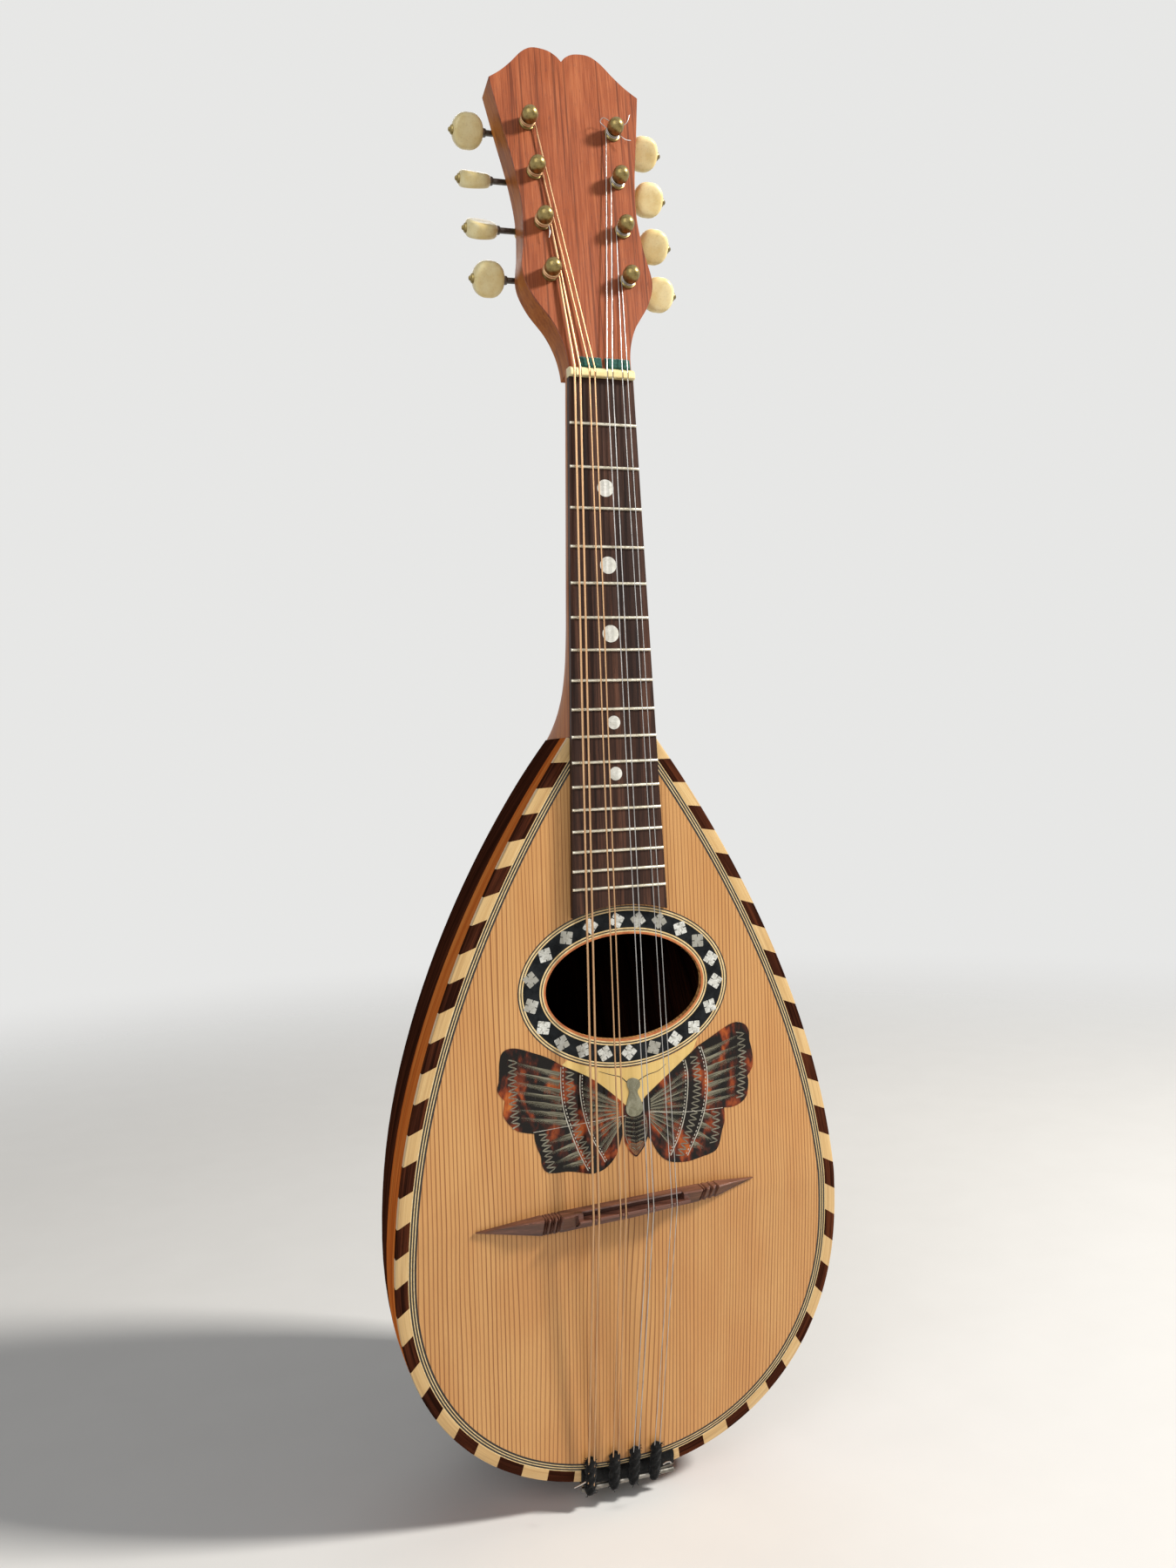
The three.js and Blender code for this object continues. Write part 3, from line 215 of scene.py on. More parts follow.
woods = {
    "rosewood": Look(streak=5, line=2.2, dark=(0.018, 0.006, 0.003), middle=(0.05, 0.015, 0.008), rough=0.5,
                     light=(0.135, 0.038, 0.015), lineColour=(0.01, 0.004, 0.003), lines=0.7, pores=0.6, specular=0.0),
    "bandWood": Look(streak=6, line=3, dark=(0.44, 0.09, 0.016), middle=(0.62, 0.165, 0.032), rough=0.45,
                     light=(0.76, 0.26, 0.06), lineColour=(0.16, 0.03, 0.008), lines=0.5, pores=0.25, specular=0.0),
    "headFace": Look(streak=5, line=1.5, dark=(0.17, 0.038, 0.014), middle=(0.33, 0.088, 0.034), rough=0.44, fine=0.6,
                     light=(0.47, 0.155, 0.064), lineColour=(0.07, 0.016, 0.008), lines=0.55, pores=0.7, specular=0.2),
    "neckWood": Look(streak=9, line=4, dark=(0.26, 0.068, 0.014), middle=(0.41, 0.125, 0.026), rough=0.36,
                     light=(0.54, 0.2, 0.045), lineColour=(0.14, 0.032, 0.01), lines=0.4, pores=0.3, specular=0.1),
    "fretWood": Look(streak=4.5, line=1.6, dark=(0.013, 0.008, 0.007), middle=(0.042, 0.02, 0.014), rough=0.5, bump=1,
                     light=(0.125, 0.055, 0.034), lineColour=(0.008, 0.005, 0.005), lines=0.6, pores=0.7,
                     specular=0.15),
    "bridgeWood": Look(streak=3.5, line=1.4, dark=(0.05, 0.019, 0.012), middle=(0.115, 0.043, 0.027), rough=0.42,
                       light=(0.23, 0.094, 0.058), lineColour=(0.03, 0.01, 0.008), lines=0.6, pores=0.5, coat=0.1),
    "maple": Look(streak=3, line=1.2, dark=(0.48, 0.28, 0.1), middle=(0.62, 0.4, 0.165), rough=0.36,
                  light=(0.73, 0.52, 0.25), lineColour=(0.36, 0.19, 0.07), lines=0.3, pores=0.2, coat=0.2),
    "panelWood": Look(streak=6, line=3, dark=(0.62, 0.4, 0.11), middle=(0.7, 0.48, 0.16), rough=0.3,
                      light=(0.76, 0.55, 0.22), lineColour=(0.5, 0.3, 0.1), lines=0.15, pores=0.1, coat=0.25)}
finishes = {name: streakedWood(name, look) for name, look in woods.items()}
blockWood = streakedWood("block_wood", woods["maple"], "object")


# Quarter sawn spruce: each year ends in a thin dark line
def spruceFinish(name, source="grain"):
    look = Look(year=1.8, narrowing=0.0018, early=(0.62, 0.305, 0.105), late=(0.2, 0.066, 0.015),
                warm=(0.68, 0.365, 0.135))
    finish = Finish(name, source)
    drift, waver = finish.noise((420, 30, 30), 2, 0.5), finish.noise((120, 6, 6), 2, 0.5)
    across = finish.axis("Y")
    right = across.math("MAXIMUM", across, 0)  # the years narrow towards the treble edge
    years = (across + right * right * look.narrowing + drift * 9 + waver * 0.6) / look.year
    saw = years.fraction()
    whichYear = finish.node("ShaderNodeTexWhiteNoise", {"noise_dimensions": "1D"},
                            {"W": years.math("FLOOR", years)}, "Value")
    late = finish.between(saw, 0.6, 0.92) * finish.between(saw, 1.0, 0.95)
    half = finish.between((years * 2.71 + 0.4).fraction(), 0.55, 0.95)
    lower, nearNeck = 1, 0.12
    if source == "grain":
        lower = finish.between(finish.axis("X"), 190, 110, 0.6, 1.0)
        nearNeck = finish.between(finish.axis("X"), 50, 120, 0.12, 0.35)
    fibres, clouds = finish.noise((14, 0.25, 0.25), 3), finish.noise((70, 18, 18), 3)
    ground = finish.mix(finish.between(clouds, 0.3, 0.7), look.early, look.warm)
    shaded = finish.mix(fibres * 0.25, ground, look.late)
    marked = finish.mix(half * nearNeck, shaded, look.late)
    colour = finish.mix(late * (whichYear * 0.4 + 0.6) * lower, marked, look.late)
    return finish.shade(colour, finish.between(clouds, 0.3, 0.7, 0.36, 0.46), specular=0.4,
                        normal=finish.bump(late * 0.6 + fibres * 0.3, 0.00005, 0.7))


finishes["spruce"] = spruceFinish("spruce")
braceSpruce = spruceFinish("brace_spruce", "object")


def pearlFinish(name, look):
    finish = Finish(name)
    each = finish.noise((37, 37, 37), 0)
    cells = finish.noise(look.sizes, 2, 0.5, 1.6)
    bands = finish.noise([size * 0.3 for size in look.sizes], 3, 0.6, 2.2)
    colour = finish.ramp(cells * 0.65 + bands * 0.35, (0.3, look.dark), (0.5, look.middle), (0.7, look.light))
    toned = finish.mix(finish.between(each, 0.44, 0.6) * look.get("apart", 0.3), colour, look.dark)
    return finish.shade(toned, finish.between(bands, 0.3, 0.7, 0.14, 0.3), metal=look.metal, specular=0.35,
                        normal=finish.bump(cells, 0.00004, 0.4))


pearls = {
    "pearl": Look(sizes=(2.6, 1.7, 2), dark=(0.25, 0.235, 0.19), middle=(0.62, 0.62, 0.57), light=(0.86, 0.86, 0.82),
                  metal=0.1, apart=0.75),
    "bodyPearl": Look(sizes=(5, 4, 4), dark=(0.13, 0.12, 0.075), middle=(0.23, 0.22, 0.145), light=(0.34, 0.33, 0.24),
                      metal=0.05),
    "silverInlay": Look(sizes=(3, 1, 2), dark=(0.3, 0.28, 0.22), middle=(0.52, 0.49, 0.41), light=(0.72, 0.7, 0.62),
                        metal=0.1),
    "dotPearl": Look(sizes=(3, 2, 2), dark=(0.58, 0.57, 0.5), middle=(0.76, 0.75, 0.68), light=(0.9, 0.9, 0.85),
                     metal=0.05, apart=0.0),
    "dullInlay": Look(sizes=(4, 3, 2), dark=(0.11, 0.1, 0.07), middle=(0.2, 0.185, 0.135), light=(0.32, 0.3, 0.23),
                      metal=0.1)}
finishes |= {name: pearlFinish(name, look) for name, look in pearls.items()}

# A washed strip that fades to its tip, ten along, and to one edge, minus one across
finish = Finish("vein")
streaks = finish.noise((7, 0.3, 1.5), 3, 0.6)
wash = (1.1 - finish.axis("X") * 0.075) * (finish.axis("Y") * 0.36 + 0.58)
colour = finish.mix(finish.between(streaks, 0.3, 0.7), (0.07, 0.062, 0.038), (0.3, 0.28, 0.2))
finishes["vein"] = finish.shade(
    colour, 0.24, specular=0.3, alpha=finish.between(wash + streaks * 0.5 - 0.25, 0.08, 0.85),
    normal=finish.bump(streaks, 0.00002, 0.4))

finish = Finish("tortoiseshell")
patches, flecks = finish.noise((11, 8, 8), 2, 0.5, 0.5), finish.noise((3, 2.2, 3), 3, 0.6, 0.5)
colour = finish.ramp(patches * 0.75 + flecks * 0.25, (0.47, (0.006, 0.004, 0.003)), (0.53, (0.045, 0.01, 0.005)),
                     (0.58, (0.18, 0.03, 0.008)), (0.64, (0.36, 0.075, 0.014)), (0.72, (0.52, 0.17, 0.03)))
finishes["shell"] = finish.shade(colour, finish.between(flecks, 0.3, 0.7, 0.1, 0.2), specular=0.22,
                                 normal=finish.bump(patches, 0.0001, 0.35))

# Wire wound over a core: the grain's first axis runs along the string
finish = Finish("wound_bronze")
coils = 1 - ((finish.axis("X") / 0.28).fraction() * 2 - 1) ** 2
colour = finish.mix(finish.noise((9, 3, 3), 3), (0.44, 0.25, 0.12), (0.72, 0.46, 0.26))
# painted shade: the crease between one turn of wire and the next is darkened
shadedGrooves = finish.mix(finish.between(coils, 0.0, 0.5, 0.3, 0.0), colour, (0.1, 0.045, 0.02))
finishes["bronze"] = finish.shade(shadedGrooves, 0.34, metal=0.9, normal=finish.bump(coils, 0.00002, 0.35))


def plainFinish(name, look):
    finish = Finish(name)
    clouds = finish.noise([look.get("size", 5)] * 3, 4, 0.6)
    specks = finish.noise([look.get("speck", 0.5)] * 3, 3, 0.6)
    colour = finish.mix(finish.between(clouds, 0.32, 0.68), look.first, look.second)
    spots = finish.between(specks, 0.56, 0.7) * look.get("spots", 0.3)
    return finish.shade(
        finish.mix(spots, colour, look.get("spot", look.first)),
        finish.between(clouds, 0.3, 0.7, look.rough - 0.05, look.rough + 0.08), metal=look.get("metal", 0.0),
        coat=look.get("coat", 0.0), sheen=look.get("sheen", 0.0), specular=look.get("specular", 0.5),
        normal=finish.bump(specks, look.get("relief", 0.00003), 0.6))


finishes |= {name: plainFinish(name, look) for name, look in {
    "bone": Look(first=(0.83, 0.65, 0.29), second=(0.95, 0.82, 0.46), rough=0.32, coat=0.1, size=7,
                 spot=(0.5, 0.36, 0.13), speck=0.8, specular=0.4),
    "brass": Look(first=(0.21, 0.155, 0.055), second=(0.37, 0.285, 0.12), rough=0.34, metal=1.0, size=3,
                  spot=(0.1, 0.06, 0.03), spots=0.5, speck=0.9),
    "plateBrass": Look(first=(0.46, 0.33, 0.13), second=(0.6, 0.44, 0.19), rough=0.36, metal=1.0, size=9,
                       spot=(0.2, 0.12, 0.06), spots=0.5, speck=1.2),
    "steel": Look(first=(0.42, 0.41, 0.4), second=(0.58, 0.57, 0.55), rough=0.3, metal=1.0, size=8,
                  spot=(0.2, 0.16, 0.13), spots=0.35),
    # nickel made dark all over, with darker brown spots
    "darkNickel": Look(first=(0.16, 0.15, 0.13), second=(0.3, 0.28, 0.25), rough=0.36, metal=1.0, size=6,
                       spot=(0.08, 0.05, 0.03), spots=0.5, speck=1.0),
    "darkSteel": Look(first=(0.1, 0.09, 0.08), second=(0.2, 0.18, 0.16), rough=0.38, metal=1.0, size=4),
    "fretMetal": Look(first=(0.66, 0.6, 0.46), second=(0.8, 0.76, 0.64), rough=0.3, metal=0.85, size=4,
                      spot=(0.35, 0.28, 0.15)),
    "mastic": Look(first=(0.006, 0.007, 0.008), second=(0.016, 0.018, 0.02), rough=0.3, spot=(0.04, 0.04, 0.035),
                   spots=0.25, specular=0.08),
    "amber": Look(first=(0.1, 0.035, 0.012), second=(0.26, 0.11, 0.035), rough=0.25, size=3, speck=1.5,
                  spot=(0.03, 0.01, 0.006), spots=0.6),
    "lineBlack": Look(first=(0.01, 0.008, 0.007), second=(0.025, 0.018, 0.014), rough=0.4),
    "lineLight": Look(first=(0.66, 0.46, 0.2), second=(0.8, 0.62, 0.33), rough=0.4, size=3),
    # painted highlight: the orange of the band at the hole's edge stands for light caught by that edge
    "holeEdgeHighlight": Look(first=(0.42, 0.11, 0.03), second=(0.55, 0.19, 0.06), rough=0.4, size=4),
    "felt": Look(first=(0.005, 0.055, 0.04), second=(0.012, 0.11, 0.08), rough=0.9, sheen=0.5, relief=0.0003,
                 size=1.2, speck=0.25, spot=(0.02, 0.16, 0.12), specular=0.2),
    "cloth": Look(first=(0.006, 0.006, 0.006), second=(0.014, 0.014, 0.014), rough=0.85, sheen=0.08, relief=0.0004,
                  size=1.5, speck=0.3, spot=(0.04, 0.04, 0.04), specular=0.05)}.items()}
print("materials made")


# Shapes


def alongNeck(p):
    return p[1], p[0], p[2]


# Closed forms gathered into one piece; grain is worked out from a point or given as a list
class Gathered:
    def __init__(self):
        self.points, self.faces, self.grain = [], [], []

    def add(self, shape, matrix=toRow, grain=alongNeck):
        start = len(self.points)
        self.points += [matrix @ Vector(p) for p in shape[0]]
        self.faces += [[index + start for index in face] for face in shape[1]]
        self.grain += [grain(p) for p in shape[0]] if callable(grain) else grain
        return self

    def piece(self, name, madeOf, slot, *replaced, rider="instrument", sharp=38, bevel=0.0):
        mesh = bpy.data.meshes.new(name)
        mesh.from_pydata(self.points, [], self.faces)
        mesh.materials.append(finishes[madeOf])
        attribute = mesh.attributes.new("grain", "FLOAT_VECTOR", "POINT")
        attribute.data.foreach_set("vector", [value for line in self.grain for value in line])
        work = bmesh.new()
        work.from_mesh(mesh)
        bmesh.ops.recalc_face_normals(work, faces=work.faces)
        work.to_mesh(mesh)
        work.free()
        mesh.shade_smooth()
        mesh.set_sharp_from_angle(angle=radians(sharp))
        piece = placed(name, mesh)
        if bevel:
            rounding = piece.modifiers.new("rounded edges", "BEVEL")
            rounding.width, rounding.segments = bevel * 0.001, 2
            rounding.limit_method, rounding.angle_limit = "ANGLE", radians(42)
            rounding.harden_normals = True
        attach(piece, rider)
        if replaced:
            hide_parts(*replaced)


def single(shape, *named, matrix=toRow, grain=alongNeck, **options):
    Gathered().add(shape, matrix, grain).piece(*named, **options)


def oval(halfWide, halfTall, x=0, y=0, steps=24):
    return [(x + halfWide * cos(2 * pi * i / steps), y + halfTall * sin(2 * pi * i / steps)) for i in range(steps)]


def inLoops(x, y, loops):
    inside = False
    for loop in loops:
        for (x0, y0), (x1, y1) in zip(loop, loop[1:] + loop[:1]):
            if (y0 > y) != (y1 > y) and x < x0 + (y - y0) * (x1 - x0) / (y1 - y0):
                inside = not inside
    return inside


# A flat plate with holes; bent plates get points on the bend
def plate(outline, low, high, holes=(), bent=False):
    loops = [outline, *holes]
    if bent:
        loops = [atBend(loop + loop[:1])[:-1] for loop in loops]
    flat = [Vector(p) for loop in loops for p in loop]
    edges, start = [], 0
    for loop in loops:
        edges += [(start + i, start + (i + 1) % len(loop)) for i in range(len(loop))]
        start += len(loop)
    if bent:
        onBend = sorted((p.x, i) for i, p in enumerate(flat) if abs(p.y) < 1e-6)
        edges += [(a[1], b[1]) for a, b in zip(onBend, onBend[1:])]
    corners, _, triangles, *_ = delaunay_2d_cdt(flat, edges, [], 0, 1e-5)
    kept = [t for t in triangles if inLoops(*(sum((corners[i] for i in t), Vector((0, 0))) / 3), loops)]
    count = len(corners)
    points = [(p.x, p.y, z) for z in (high, low) for p in corners]
    faces = [list(t) for t in kept] + [[i + count for i in reversed(t)] for t in kept]
    sides = dict.fromkeys(edge for a, b, c in kept for edge in ((a, b), (b, c), (c, a)))
    faces += [[b, a, a + count, b + count] for a, b in sides if (b, a) not in sides]
    if bent:
        points = [onBoard(*p) for p in points]
    return points, faces


# Rings of points joined one to the next; the ends are closed with flat caps
def loft(rings, caps=True):
    sides = len(rings[0])
    count = len(rings) * sides
    faces = [[row + i, row + (i + 1) % sides, row + sides + (i + 1) % sides, row + sides + i]
             for row in range(0, count - sides, sides) for i in range(sides)]
    if caps:
        faces += [list(reversed(range(sides))), list(range(count - sides, count))]
    return [p for ring in rings for p in ring], faces


# Turned about z from (radius, height) pairs
def turned(profile, sides=32):
    points, faces, rows = [], [], []
    for radius, height in profile:
        start = len(points)
        if radius < 1e-6:
            rows.append([start] * sides)
            points.append((0, 0, height))
        else:
            rows.append([start + i for i in range(sides)])
            points += [(x, y, height) for x, y in oval(radius, radius, steps=sides)]
    for low, high in zip(rows, rows[1:]):
        for i in range(sides):
            corners = [low[i], low[(i + 1) % sides], high[(i + 1) % sides], high[i]]
            faces.append([c for k, c in enumerate(corners) if c != corners[k - 1]])
    return points, faces


# A tube through points; radius may change from point to point
def tube(path, radius, sides=8):
    path = [Vector(p) for p in path]
    radii = radius if isinstance(radius, list) else [radius] * len(path)
    rings, side = [], None
    for i, point in enumerate(path):
        ahead = (path[min(i + 1, len(path) - 1)] - path[max(i - 1, 0)]).normalized()
        side = side or ahead.orthogonal().normalized()
        side = (side - ahead * side.dot(ahead)).normalized()
        up = ahead.cross(side)
        rings.append([point + (side * x + up * y) * radii[i] for x, y in oval(1, 1, steps=sides)])
    return loft(rings)


def alongLengths(path):
    lengths = [0.0]
    for a, b in zip(path, path[1:]):
        lengths.append(lengths[-1] + (Vector(b) - Vector(a)).length)
    return lengths


# A flat strip along a drawn line, lying on the board from low to high
def ribbon(path, width, low, high):
    widths = width if isinstance(width, list) else [width] * len(path)
    rings = []
    for i, point in enumerate(path):
        ahead = (Vector(path[min(i + 1, len(path) - 1)]) - Vector(path[max(i - 1, 0)])).normalized()
        left = Vector((-ahead.y, ahead.x)) * widths[i] / 2
        rings.append([onBoard(*(Vector(point) + left * side), z)
                      for side, z in ((1, low), (1, high), (-1, high), (-1, low))])
    return loft(rings)


# Even places along a drawn line
def resampled(path, count):
    lengths = alongLengths(path)
    made, k = [], 0
    for i in range(count + 1):
        target = lengths[-1] * i / count
        while k < len(path) - 2 and lengths[k + 1] < target:
            k += 1
        share = (target - lengths[k]) / max(lengths[k + 1] - lengths[k], 1e-9)
        made.append(tuple(Vector(path[k]).lerp(Vector(path[k + 1]), min(max(share, 0), 1))))
    return made


# The same line with a point where it crosses the board's bend
def atBend(path):
    made = [path[0]]
    for (x0, y0), (x1, y1) in zip(path, path[1:]):
        if y0 * y1 < 0:
            made.append((x0 + (x1 - x0) * y0 / (y0 - y1), 0.0))
        made.append((x1, y1))
    return made


# A smooth line through given points
def smoothed(points, steps=4):
    points = [Vector(p) for p in points]
    made = []
    for a, b, c, d in zip(points[:1] + points, points, points[1:], points[2:] + points[-1:]):
        made += [tuple(0.5 * (2 * b + (c - a) * t + (2 * a - 5 * b + 4 * c - d) * t * t
                              + (3 * b - a - 3 * c + d) * t ** 3)) for t in [k / steps for k in range(steps)]]
    return made + [tuple(points[-1])]


# Body outline


def flankPoint(t):
    angle = radians(body.shoulderAngle)
    a = Vector((body.shoulder, body.jointY))
    b = a + Vector((sin(angle), -cos(angle))) * body.shoulderPull
    c, d = Vector((body.halfWidth, body.widestY + body.flankPull)), Vector((body.halfWidth, body.widestY))
    return a * (1 - t) ** 3 + b * 3 * t * (1 - t) ** 2 + c * 3 * t * t * (1 - t) + d * t ** 3


def tailPoint(angle):
    return Vector((body.halfWidth * max(cos(angle), 0) ** tailPower,
                   body.widestY - body.tailLength * sin(angle) ** tailPower))


def edgePlaces(lastAngle, flankSteps, tailSteps):
    return [flankPoint(i / flankSteps) for i in range(flankSteps)] + [
        tailPoint(lastAngle * i / tailSteps) for i in range(tailSteps + 1)]


# Treble edge from the neck to the middle of the tail, moved in by inset
def edgeLine(inset, steps=60):
    edge = edgePlaces(pi / 2, steps, steps)
    moved = []
    for i, point in enumerate(edge):
        before = edge[max(i - 1, 0)]
        after = edge[i + 1] if i + 1 < len(edge) else Vector((-before.x, before.y))
        ahead = (after - before).normalized()
        moved.append((point.x + ahead.y * inset, point.y - ahead.x * inset))
    moved[-1] = (0.0, moved[-1][1])
    return moved


def bothSides(treble):
    return treble + [(-x, y) for x, y in reversed(treble[:-1])]


# Bowl

rim = body.board + body.gap


# A point of a rounded half section; power 1 makes it an ellipse
def fullCurve(angle, power):
    return copysign(abs(cos(angle)) ** power, cos(angle)), abs(sin(angle)) ** power


# How far a place of the edge lies below the plane of the board, and the bowl's depth there
def bowlDepth(place):
    drop = max(0, -place.y) * sin(cant)
    return drop, (body.depth - drop) * (place.x / body.halfWidth) ** body.sweep


# A point of the bowl's surface: angle 0 is the treble rim, pi the bass rim
def bowlPoint(place, angle, inset, shift=0.0):
    drop, deep = bowlDepth(place)

    def section(a):
        across, down = fullCurve(a, 2 / body.fullness)
        return Vector(((place.x - inset) * across, -(deep - inset - rim) * down))
    flat = section(angle)
    if shift:
        flat += (section(min(pi, angle + pi / 360)) - section(max(0, angle - pi / 360))).normalized() * shift
    share = (body.tailLength - inset) / body.tailLength if place.y < body.widestY else 1
    y = body.widestY + (place.y - body.widestY) * share
    return Vector((flat.x, y * cos(cant) if place.y < 0 else y, flat.y - drop - rim))


ribs = Look(flankSteps=34, tailSteps=26, folds=6, crownShare=0.7, seam=0.05, girthSteps=720)
widest = Vector((body.halfWidth, body.widestY))
girth = alongLengths([bowlPoint(widest, pi * i / ribs.girthSteps, 0) for i in range(ribs.girthSteps + 1)])
shares = [body.bandShare + (1 - 2 * body.bandShare) * i / body.staves for i in range(body.staves + 1)]
seams = []
for target in [share * girth[-1] for share in (0, *shares, 1)]:
    i = max(i for i in range(ribs.girthSteps) if girth[i] <= target)
    seams.append(pi * (i + (target - girth[i]) / (girth[i + 1] - girth[i])) / ribs.girthSteps)
tailAngle = acos((body.ribTail / body.halfWidth) ** (1 / tailPower))
ribPlaces = edgePlaces(tailAngle, ribs.flankSteps, ribs.tailSteps)
lastRib = len(seams) - 2
for rib, (first, second) in enumerate(zip(seams, seams[1:])):
    cadName = {0: "treble_side_band", lastRib: "bass_side_band"}.get(rib, f"bowl_rib_{rib}")
    rings, grain = [], []
    for place, run in zip(ribPlaces, alongLengths(ribPlaces)):
        layers = []
        for inset in (0, body.rib):
            row = [bowlPoint(place, first + (second - first) * i / ribs.folds, inset,
                             ((i == 0 and rib > 0) - (i == ribs.folds and rib < lastRib)) * ribs.seam)
                   for i in range(ribs.folds + 1)]
            # a rib is bent along its length and nearly flat across
            layers.append([p.lerp(row[0].lerp(row[-1], i / ribs.folds), 1 - ribs.crownShare)
                           for i, p in enumerate(row)])
        rings.append(layers[0] + layers[1][::-1])
        width = (layers[0][0] - layers[0][-1]).length
        across = [(run + rib * 300, width * i / ribs.folds + rib * 61) for i in range(ribs.folds + 1)]
        grain += [(*p, 0) for p in across] + [(*p, 2) for p in across[::-1]]
    single(loft(rings), cadName.replace("bowl_rib", "rib"), "rosewood" if 0 < rib < lastRib else "bandWood",
           "rosewood", cadName, grain=grain)
for cadName, material in (("neck_block", blockWood), ("tail_block", blockWood), ("soundboard_brace", braceSpruce)):
    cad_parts[cadName].material_slots[0].material = material
print("bowl made")

# Soundboard, edge and purfling

edging = Look(width=5, blocks=32, blockSteps=6, slant=3.0, slantFrom=20, slantTo=110,
              purfling=(0.36, 0.7, 0.38, 0.65, 0.38, 0.8),  # light and black in turn, from the edge in
              profile=[(1, 0.05), (0.14, 0.05), (0.05, -0.1), (0, -0.6), (0, -2.85), (1, -2.85)])  # share in, height
holeLoop = oval(hole.halfWide, hole.halfTall, holeX, holeY, 120)
single(plate(bothSides(edgeLine(edging.width)), -body.board, 0, [holeLoop], bent=True),
       "soundboard_top", "spruce", "spruce", "soundboard")

blocks = Gathered(), Gathered()
outer, inner = [[Vector(p) for p in resampled(edgeLine(inset, 90), edging.blocks * edging.blockSteps)]
                for inset in (0, edging.width)]
innerStep = (inner[1] - inner[0]).length
for hand in (1, -1):
    for block in range(edging.blocks):
        rings, grain = [], []
        for k in range(edging.blockSteps + 1):
            index = block * edging.blockSteps + k
            out = outer[index]
            # the blocks' ends turn level towards the neck
            climb = min(1, max(0, (out.y - edging.slantFrom) / (edging.slantTo - edging.slantFrom)))
            at = max(0, index - climb * edging.slant / innerStep)
            below = min(int(at), len(inner) - 2)
            inn = inner[below].lerp(inner[below + 1], at - below)
            if k in (0, edging.blockSteps):  # a hair's gap between blocks
                out = out.lerp(outer[index + (1 if k == 0 else -1)], 0.01)
            flat = [out.lerp(inn, share) for share, _ in edging.profile]
            rings.append([onBoard(hand * p.x, p.y, height) for p, (_, height) in zip(flat, edging.profile)])
            grain += [(k * 2 + block * 47 + hand * 500, share * 5 + block * 13, height)
                      for share, height in edging.profile]
        blocks[block % 2].add(loft(rings), grain=grain)
blocks[0].piece("binding_light_blocks", "maple", "maple", "edge_binding")
blocks[1].piece("binding_dark_blocks", "rosewood", "rosewood", "edge_binding")

lines = Gathered(), Gathered()
inset = edging.width
for k, width in enumerate(edging.purfling):
    path = atBend(resampled(bothSides(edgeLine(inset + width / 2, 80)), 260))
    grain = [(length + y, side * width / 2 + x, 0) for length, (x, y) in zip(alongLengths(path), path)
             for side in (1, 1, -1, -1)]
    lines[k % 2].add(ribbon(path, width, -0.5, 0.02 + 0.01 * (k % 2)), grain=grain)
    inset += width
lines[1].piece("purfling_black", "lineBlack", "rosewood")
lines[0].piece("purfling_light", "lineLight", "maple")
print("soundboard made")

# Rosette

rosetteBands = [  # from and to, out from the hole's edge, and what it is made of
    # the first band's orange is a painted highlight along the hole's edge
    (0, 0.9, "holeEdgeHighlight"), (0.9, 1.45, "lineLight"), (1.45, 1.95, "lineBlack"), (1.95, 2.55, "lineLight"),
    (2.55, 9.5, "mastic"), (9.5, 10.05, "lineLight"), (10.05, 10.55, "lineBlack"), (10.55, 11.15, "lineLight"),
    (11.15, 11.7, "lineBlack")]
flowerPlaces = [
    (-12.3, 115.1), (-0.8, 116.7), (8.5, 116.2), (17.9, 115.1), (27.1, 111.2), (34.9, 105.5), (40.6, 97.6),
    (42.3, 87.8), (39.4, 77.6), (31.8, 69.4), (23.2, 65.3), (13.6, 62.8), (2.5, 62.0), (-8.1, 62.7), (-17.3, 65.0),
    (-26.3, 68.9), (-33.8, 75.9), (-38.6, 85.0), (-38.4, 95.6), (-32.0, 105.0), (-22.8, 111.3)]
rosette = {}
for start, end, madeOf in rosetteBands:
    a, b = [oval(hole.halfWide + out, hole.halfTall + out, holeX, holeY, 160) for out in (start, end)]
    low, high = -0.6, 0.03 if madeOf != "mastic" else 0.025
    rings = [[(*p, low), (*p, high), (*q, high), (*q, low)] for p, q in zip(a, b)]
    faces = [[index % (4 * len(rings)) for index in face] for face in loft(rings + rings[:1], caps=False)[1]]
    rosette.setdefault(madeOf, Gathered()).add(([p for ring in rings for p in ring], faces))
for madeOf, gathered in rosette.items():
    gathered.piece(f"rosette_{madeOf}", madeOf, "pearl", "rosette_ring")

# squares with one corner pointing out of the ring, and a slit from the middle of each side
flowers = Gathered()
rng = random.Random(7)
flower = Look(reach=3.6, corner=0.3, slit=1.15, gap=0.2, ringHalfWide=40.25, ringHalfTall=27.65)
for index, (x, y) in enumerate(flowerPlaces):
    bearing = atan2((y - hole.drawnY) / flower.ringHalfTall ** 2, (x - holeX) / flower.ringHalfWide ** 2)
    bearing += radians(rng.uniform(-16, 16))
    outline = []
    for side in range(4):
        start, end = (Vector((cos(bearing + k * pi / 2), sin(bearing + k * pi / 2))) * flower.reach
                      * rng.uniform(0.97, 1.03) for k in (side, side + 1))
        middle, along = (start + end) / 2, (end - start).normalized()
        deep = middle - middle.normalized() * flower.slit * rng.uniform(0.7, 1.2)
        for place in (start + along * flower.corner, middle - along * flower.gap, deep - along * flower.gap * 0.7,
                      deep + along * flower.gap * 0.7, middle + along * flower.gap, end - along * flower.corner):
            outline.append((x + place.x, y + holeY - hole.drawnY + place.y))
    flowers.add(plate(outline, -0.4, 0.05), grain=lambda p: (p[0] * 1.3 + index * 31, p[1] + index * 17, 0))
flowers.piece("rosette_flowers", "pearl", "pearl", "rosette_ring")
print("rosette made")

# Butterfly pickguard

